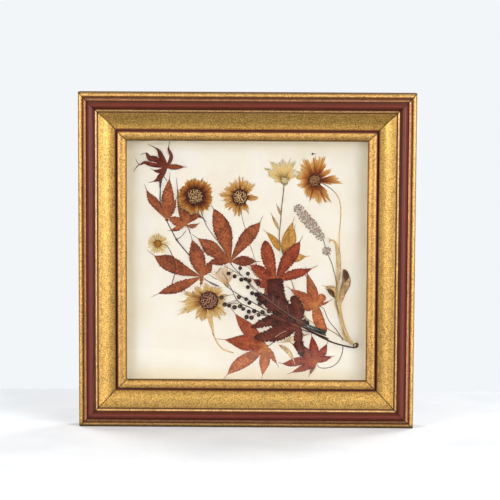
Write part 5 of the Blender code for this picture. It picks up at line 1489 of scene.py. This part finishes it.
# %% Strands that belong to a specimen
STRANDS = {     # name: (finish, [(way, start radius, end radius), ...])
    "leaf_curled_maroon": [("dark_stalk", [([(-97.5, 87.0), (-101.0, 83.5), (-103.2, 79.9)], 0.5, 0.15),
                                           ([(-79.0, 71.8), (-78.9, 68.7), (-79.2, 65.6)], 1.15, 0.5),
                                           ([(-75.5, 75.5), (-72.5, 71.5)], 0.35, 0.2)])],
    "leaf_left_tall": [("dark_stalk", [([(-64.6, 19.0), (-63.4, 17.2)], 0.85, 0.7)])],
    "leaf_left_small": [("dark_stalk", [([(-55.6, 26.4), (-60.3, 20.7), (-63.8, 19.0)], 0.25, 0.3)])],
    "leaf_brick_red": [("pale_stem", [([(-0.7, -5.1), (6.0, -11.0), (13.5, -19.2)], 0.3, 0.45)])],
    "leaf_right": [("olive_stem", [([(51.3, -8.9), (56.5, -19.0), (63.3, -27.2)], 0.25, 0.4)])],
    "leaf_dark_purple": [("pale_stem", [([(26.1, -71.1), (31.0, -67.5), (36.5, -65.3)], 0.2, 0.35)]),
                         ("brown_stem", [([(97.5, -78.5), (98.6, -76.2), (101.0, -75.6), (102.2, -77.4),
                                           (100.8, -79.4), (98.5, -79.3)], 0.55, 0.5)])],
    "petal_fan": [("dark_stalk", [([(-28.2, -12.8), (-23.0, -7.1)], 0.25, 0.15),
                                  ([(-35.2, -12.9), (-31.0, -16.0), (-27.3, -18.1)], 0.2, 0.3),
                                  ([(-21.7, -12.3), (-17.3, -18.9)], 0.2, 0.35),
                                  ([(-36.9, -19.0), (-31.0, -21.5), (-25.6, -24.2)], 0.2, 0.3)])],
    "brown_leaf_curled": [("tan_stem", [([(82.3, -36.5), (80.6, -38.5), (83.1, -46.9), (86.4, -57.9),
                                          (89.0, -68.9), (96.6, -77.3)], 0.5, 0.75)])],
    "brown_leaf_cupped": [("tan_stem", [([(86.3, -37.0), (86.0, -44.0), (88.5, -56.0), (92.0, -67.0),
                                          (98.0, -77.0)], 0.55, 0.8)])],
    "tan_leaf_curled": [("tan_stem", [([(83.6, -22.0), (83.2, -31.0), (84.5, -44.0), (88.0, -60.0),
                                        (93.5, -72.0)], 0.5, 0.7)]),
                        ("tan_stem", [([(82.8, 11.0), (81.5, 15.5), (78.5, 18.6), (75.6, 18.2), (75.2, 16.4)],
                                       0.9, 0.5)])],
    "berry_sprig_upper": [("slate_bundle", [([(51.6, -59.5), (62.0, -63.8), (72.5, -66.8)], 0.5, 0.8),
                                          ([(55.0, -58.5), (64.0, -62.2), (73.5, -65.5)], 0.4, 0.6)])],
    "berry_sprig_middle": [("dark_stalk", [([(60.0, -65.5), (68.0, -69.0), (75.1, -72.1)], 0.4, 0.5)])],
    "berry_sprig_lower": [("olive_stem", [([(-15.2, -40.0), (-7.3, -39.9)], 0.25, 0.3)])],
    "flower_tan": [("dark_stalk", [([(-31.0, -67.5), (-29.3, -71.2)], 0.5, 0.3)]),
                   ("tan_stem", [([(-36.2, -50.0), (-33.3, -60.0), (-30.0, -69.0)], 0.75, 0.3),
                                 ([(-34.4, -50.0), (-32.0, -60.0), (-29.9, -69.0)], 0.75, 0.3),
                                 ([(-32.6, -50.0), (-30.8, -60.0), (-29.8, -69.0)], 0.75, 0.3)])],
}

# %% Small leaves and folds that belong to a specimen
SCRAPS = {      # name: [(finish, base, lobe, height over the board in mm), ...]
    "flower_straw": [("brown_leaf", (31.4, 39.9), lobe(2.3, 0.5, [(26.4, 51.9)]), 0.0),
                     ("brown_leaf", (29.4, 27.3), lobe(2.8, 0.5, [(21.5, 43.5)]), 0.0)],
    "flower_tan": [("maroon_leaf", (-46.8, -34.4), lobe(3.4, 0.4, [(-49.8, -28.6)]), 0.0)],
    "brown_leaf_curled": [("umber_leaf", (80.0, -34.0), lobe(4.4, 0.5, [(76.5, -28.6), (71.5, -25.8)]), 0.5)],
    "brown_leaf_cupped": [("umber_leaf", (89.6, -20.5), lobe(5.2, 0.6, [(90.6, -13.5), (87.6, -8.0)]), 0.5)],
}

# %% How the flowers look
flower_rays = {
    "rust": ray_finish("rust_rays", "#552011", "#b5692a", "#dba550", "#ecc680", 0.5),
    "yellow": ray_finish("yellow_rays", "#7a3f1c", "#d69c4c", "#ecc07a", "#f4dcae", 0.43),
    "orange": ray_finish("orange_rays", "#7c3818", "#cc8539", "#e6b66a", "#f2d9a8", 0.42),
    "straw": ray_finish("straw_rays", "#a8783a", "#f8d890", "#fbe8b4", "#fcf2d4", 0.28),
    "small": ray_finish("small_yellow_rays", "#b07a2c", "#e4c06a", "#f0dba0", "#f3e6c2"),
    "tan": ray_finish("tan_rays", "#8f5526", "#dcae64", "#efd29a", "#f5e5c2", 0.38),
    "fan": ray_finish("pale_fan_rays", "#c9986a", "#e8c8a0", "#f0dcc0", "#f3e6d2"),
}
flower_discs = {
    "dark": floret_finish("dark_florets", "#451b17", "#edc98a"),
    "brown": floret_finish("brown_florets", "#472217", "#d6a46a"),
    "plum": floret_finish("plum_florets", "#4a2020", "#e0b088"),
    "straw": floret_finish("straw_florets", "#8a6a3a", "#e6d3a0"),
    "amber": floret_finish("amber_florets", "#7c4614", "#c9923e"),
}
# name: slot, rays, florets, stem, rays to a petal, their width in mm, inner end's share of the button,
# fray, bend, number of florets, their length and thickness in mm, and the button's rise in mm
FLOWER_LOOKS = {
    "flower_rust": ("rust_petals", "rust", "dark", "brown_stem", 5, 1.8, 0.5, 0.5, 2.6, 60, 2.5, 0.28, 0.65),
    "flower_yellow": ("yellow_petals", "yellow", "dark", "grey_stem", 6, 1.8, 0.5, 0.4, 2.4, 58, 2.4, 0.27,
                      0.6),
    "flower_orange": ("rust_petals", "orange", "brown", "half_tan_stem", 7, 2.2, 0.5, 0.35, 1.8, 46, 2.0,
                      0.26, 0.6),
    "flower_straw": ("straw_petals", "straw", "straw", "straw_stem", 7, 1.0, 0.4, 0.6, 2.2, 60, 3.0, 0.24,
                     0.5),
    "flower_small_yellow": ("straw_petals", "small", "amber", "dark_stalk", 2, 0.9, 0.4, 0.5, 2.0, 50, 1.4,
                            0.2, 0.45),
    "flower_tan": ("yellow_petals", "tan", "plum", "tan_stem", 9, 1.9, 0.5, 0.55, 2.6, 64, 2.3, 0.26, 0.75),
    "petal_fan": ("straw_petals", "fan", "straw", "dark_stalk", 5, 2.4, 0.3, 0.2, 1.6, 12, 1.5, 0.2, 0.3),
}
LOOK_KEYS = ("crowd", "wide", "inner", "fray", "bend", "florets", "thread", "fine", "rise")


def flower_look(name):
    """A flower's slot and its look, by name."""
    slot, ray, disc, stem, *sizes = FLOWER_LOOKS[name]
    look = dict(zip(LOOK_KEYS, sizes))
    look.update({"ray": flower_rays[ray], "disc": flower_discs[disc], "stem": stems[stem]})
    return slot, look


# %% Lavender and berries
WHORLS = 16
BUDS_ABREAST = 7


def bud_points(name, rows):
    """Points for buds or berries: rows of x, lift, z, turn, length, width and luck."""
    rows = np.array(rows, dtype=float)
    mesh = bpy.data.meshes.new(name)
    mesh.from_pydata([(x, -lift, z) for x, lift, z in rows[:, :3]], [], [])
    carry(mesh, turn=rows[:, 3], reach=rows[:, 4], wide=rows[:, 5], shade=rows[:, 6])
    return mesh


def lavender_meshes():
    """The spike's whorls of buds, the loose whorl under it, and the stem."""
    chance = np.random.default_rng(5)
    tip, foot = np.array(LAVENDER_TIP), np.array(LAVENDER_FOOT)
    axis = (tip - foot) / np.linalg.norm(tip - foot)
    side = np.array((-axis[1], axis[0]))
    lean = math.atan2(axis[1], axis[0])
    length = np.linalg.norm(tip - foot)
    rows = []
    for whorl in range(WHORLS):
        part = whorl / (WHORLS - 1)
        girth = 0.5 + 0.5 * math.sin(math.pi * min(1.0, (1 - part) * 0.9 + 0.1)) ** 0.6
        for spread in np.linspace(-1, 1, BUDS_ABREAST):
            turn = lean + spread * math.radians(62) + chance.uniform(-0.45, 0.45)
            root = foot + axis * (part * (length - 4.0) + chance.uniform(-1.0, 1.0))
            root = root + side * spread * 2.6 * girth
            rows.append((root[0], 0.45 + (1 - abs(spread)) * 0.5 + chance.uniform(0, 0.25), root[1], turn,
                         chance.uniform(2.6, 3.8) * girth, chance.uniform(1.3, 1.9), chance.uniform(0, 1)))
    (wx, wz), radius = LAVENDER_WHORL
    for spread in np.linspace(0, 2 * math.pi, 15, endpoint=False):
        turn = spread + chance.uniform(-0.2, 0.2)
        rows.append((wx, 0.5 + chance.uniform(0, 0.3), wz, turn, chance.uniform(0.7, 1.0) * radius,
                     chance.uniform(1.1, 1.5), chance.uniform(0, 1)))
    buds = grow(bud_points("buds", rows), bud_tree, {"Wrinkle": 0.5, "Finish": lavender_finish})
    inner = [foot + axis * (length - 3.0), foot + axis * 8.0]
    stem = stem_mesh([([tuple(inner[0]), tuple(inner[1])] + LAVENDER_STEM, 0.3, 0.55)], stems["grey_stem"])
    return [stem, buds]


def sprig_meshes(name, way, berries, seed):
    """A sprig's twigs, one to each berry that hangs off its way, and its berries."""
    chance = np.random.default_rng(seed)
    line = smooth_way(way, 6)
    finish = "slate_twig" if name == "berry_sprig_upper" else "dark_stalk"
    strands = [(way, 0.24, 0.5)]
    rows = []
    for x, z in berries:
        apart = np.linalg.norm(line - (x, z), axis=1)
        joint = line[min(int(apart.argmin()) + 2, len(line) - 1)]
        if apart.min() > 1.2:
            middle = (joint + (x, z)) / 2 + chance.uniform(-0.8, 0.8, 2)
            strands.append(([tuple(joint), tuple(middle), (x, z)], 0.22, 0.17))
        rows.append((x, 0.95, z, 0.0, 1.0, BERRY * chance.uniform(0.86, 1.06), chance.uniform(0, 1)))
    berry = grow(bud_points("berries", rows), berry_tree,
                 {"Flatness": 0.42, "Wrinkle": 0.45, "Finish": berry_finish})
    return [stem_mesh(strands, stems[finish]), berry]


# %% Make and lay every specimen
def specimen(name, seed):
    """The meshes of one specimen and the finish slot that it takes."""
    if name in LEAVES:
        leaf = LEAVES[name]
        slot, stalk, curl, teeth, shades = LEAF_LOOKS[name]
        width, way = leaf["stalk"]
        sheet = leaf_mesh(name, leaf["hub"], leaf["lobes"], leaf_finishes[slot], teeth, curl, shades,
                          seed)
        meshes = [sheet, stem_mesh([([leaf["hub"]] + way, width * 0.75, width)], stems[stalk])]
    elif name in BLADES:
        shape = BLADES[name]
        slot, curl, teeth = BLADE_LOOKS[name]
        start = shape["way"][0]
        shade = BLADE_SHADES.get(name, 0.2)
        meshes = [leaf_mesh(name, start, [{**shape, "way": shape["way"][1:]}], leaf_finishes[slot], teeth,
                            curl, [shade], seed)]
    elif name in FLOWERS:
        slot, look = flower_look(name)
        meshes = flower_meshes(FLOWERS[name], look, seed)
    elif name == "lavender":
        slot, meshes = "dry_lavender", lavender_meshes()
    elif name in SPRIGS:
        slot, meshes = "dark_berries", sprig_meshes(name, *SPRIGS[name], seed)
    else:
        seed_at, tail = FLECK
        slot = "dark_berries"
        fleck = grow(bud_points("fleck", [(seed_at[0], 0.4, seed_at[1], 0.0, 1.0, 0.95, 0.5)]), berry_tree,
                     {"Flatness": 0.42, "Wrinkle": 0.7, "Finish": berry_finish})
        meshes = [stem_mesh([([seed_at, tail], 0.4, 0.12)], stems["dark_stalk"]), fleck]
    for finish, strands in STRANDS.get(name, []):
        meshes.append(stem_mesh(strands, stems[finish], lift=0.25))
    for finish, base, shape, height in SCRAPS.get(name, []):
        scrap = leaf_mesh("scrap", base, [shape], leaf_finishes[finish], (4.0, 0.2), 0.1, [0.2], seed)
        scrap.transform(Matrix.Translation((0.0, -height, 0.0)))
        meshes.append(scrap)
    return slot, meshes


for seed, name in enumerate(LAYING_ORDER, start=1):
    slot, meshes = specimen(name, seed)
    lay_down(name, meshes)
print(f"{len(plants)} specimens, the pile stands {pile.max():.2f} mm high under {ROOM:.2f} mm of room")
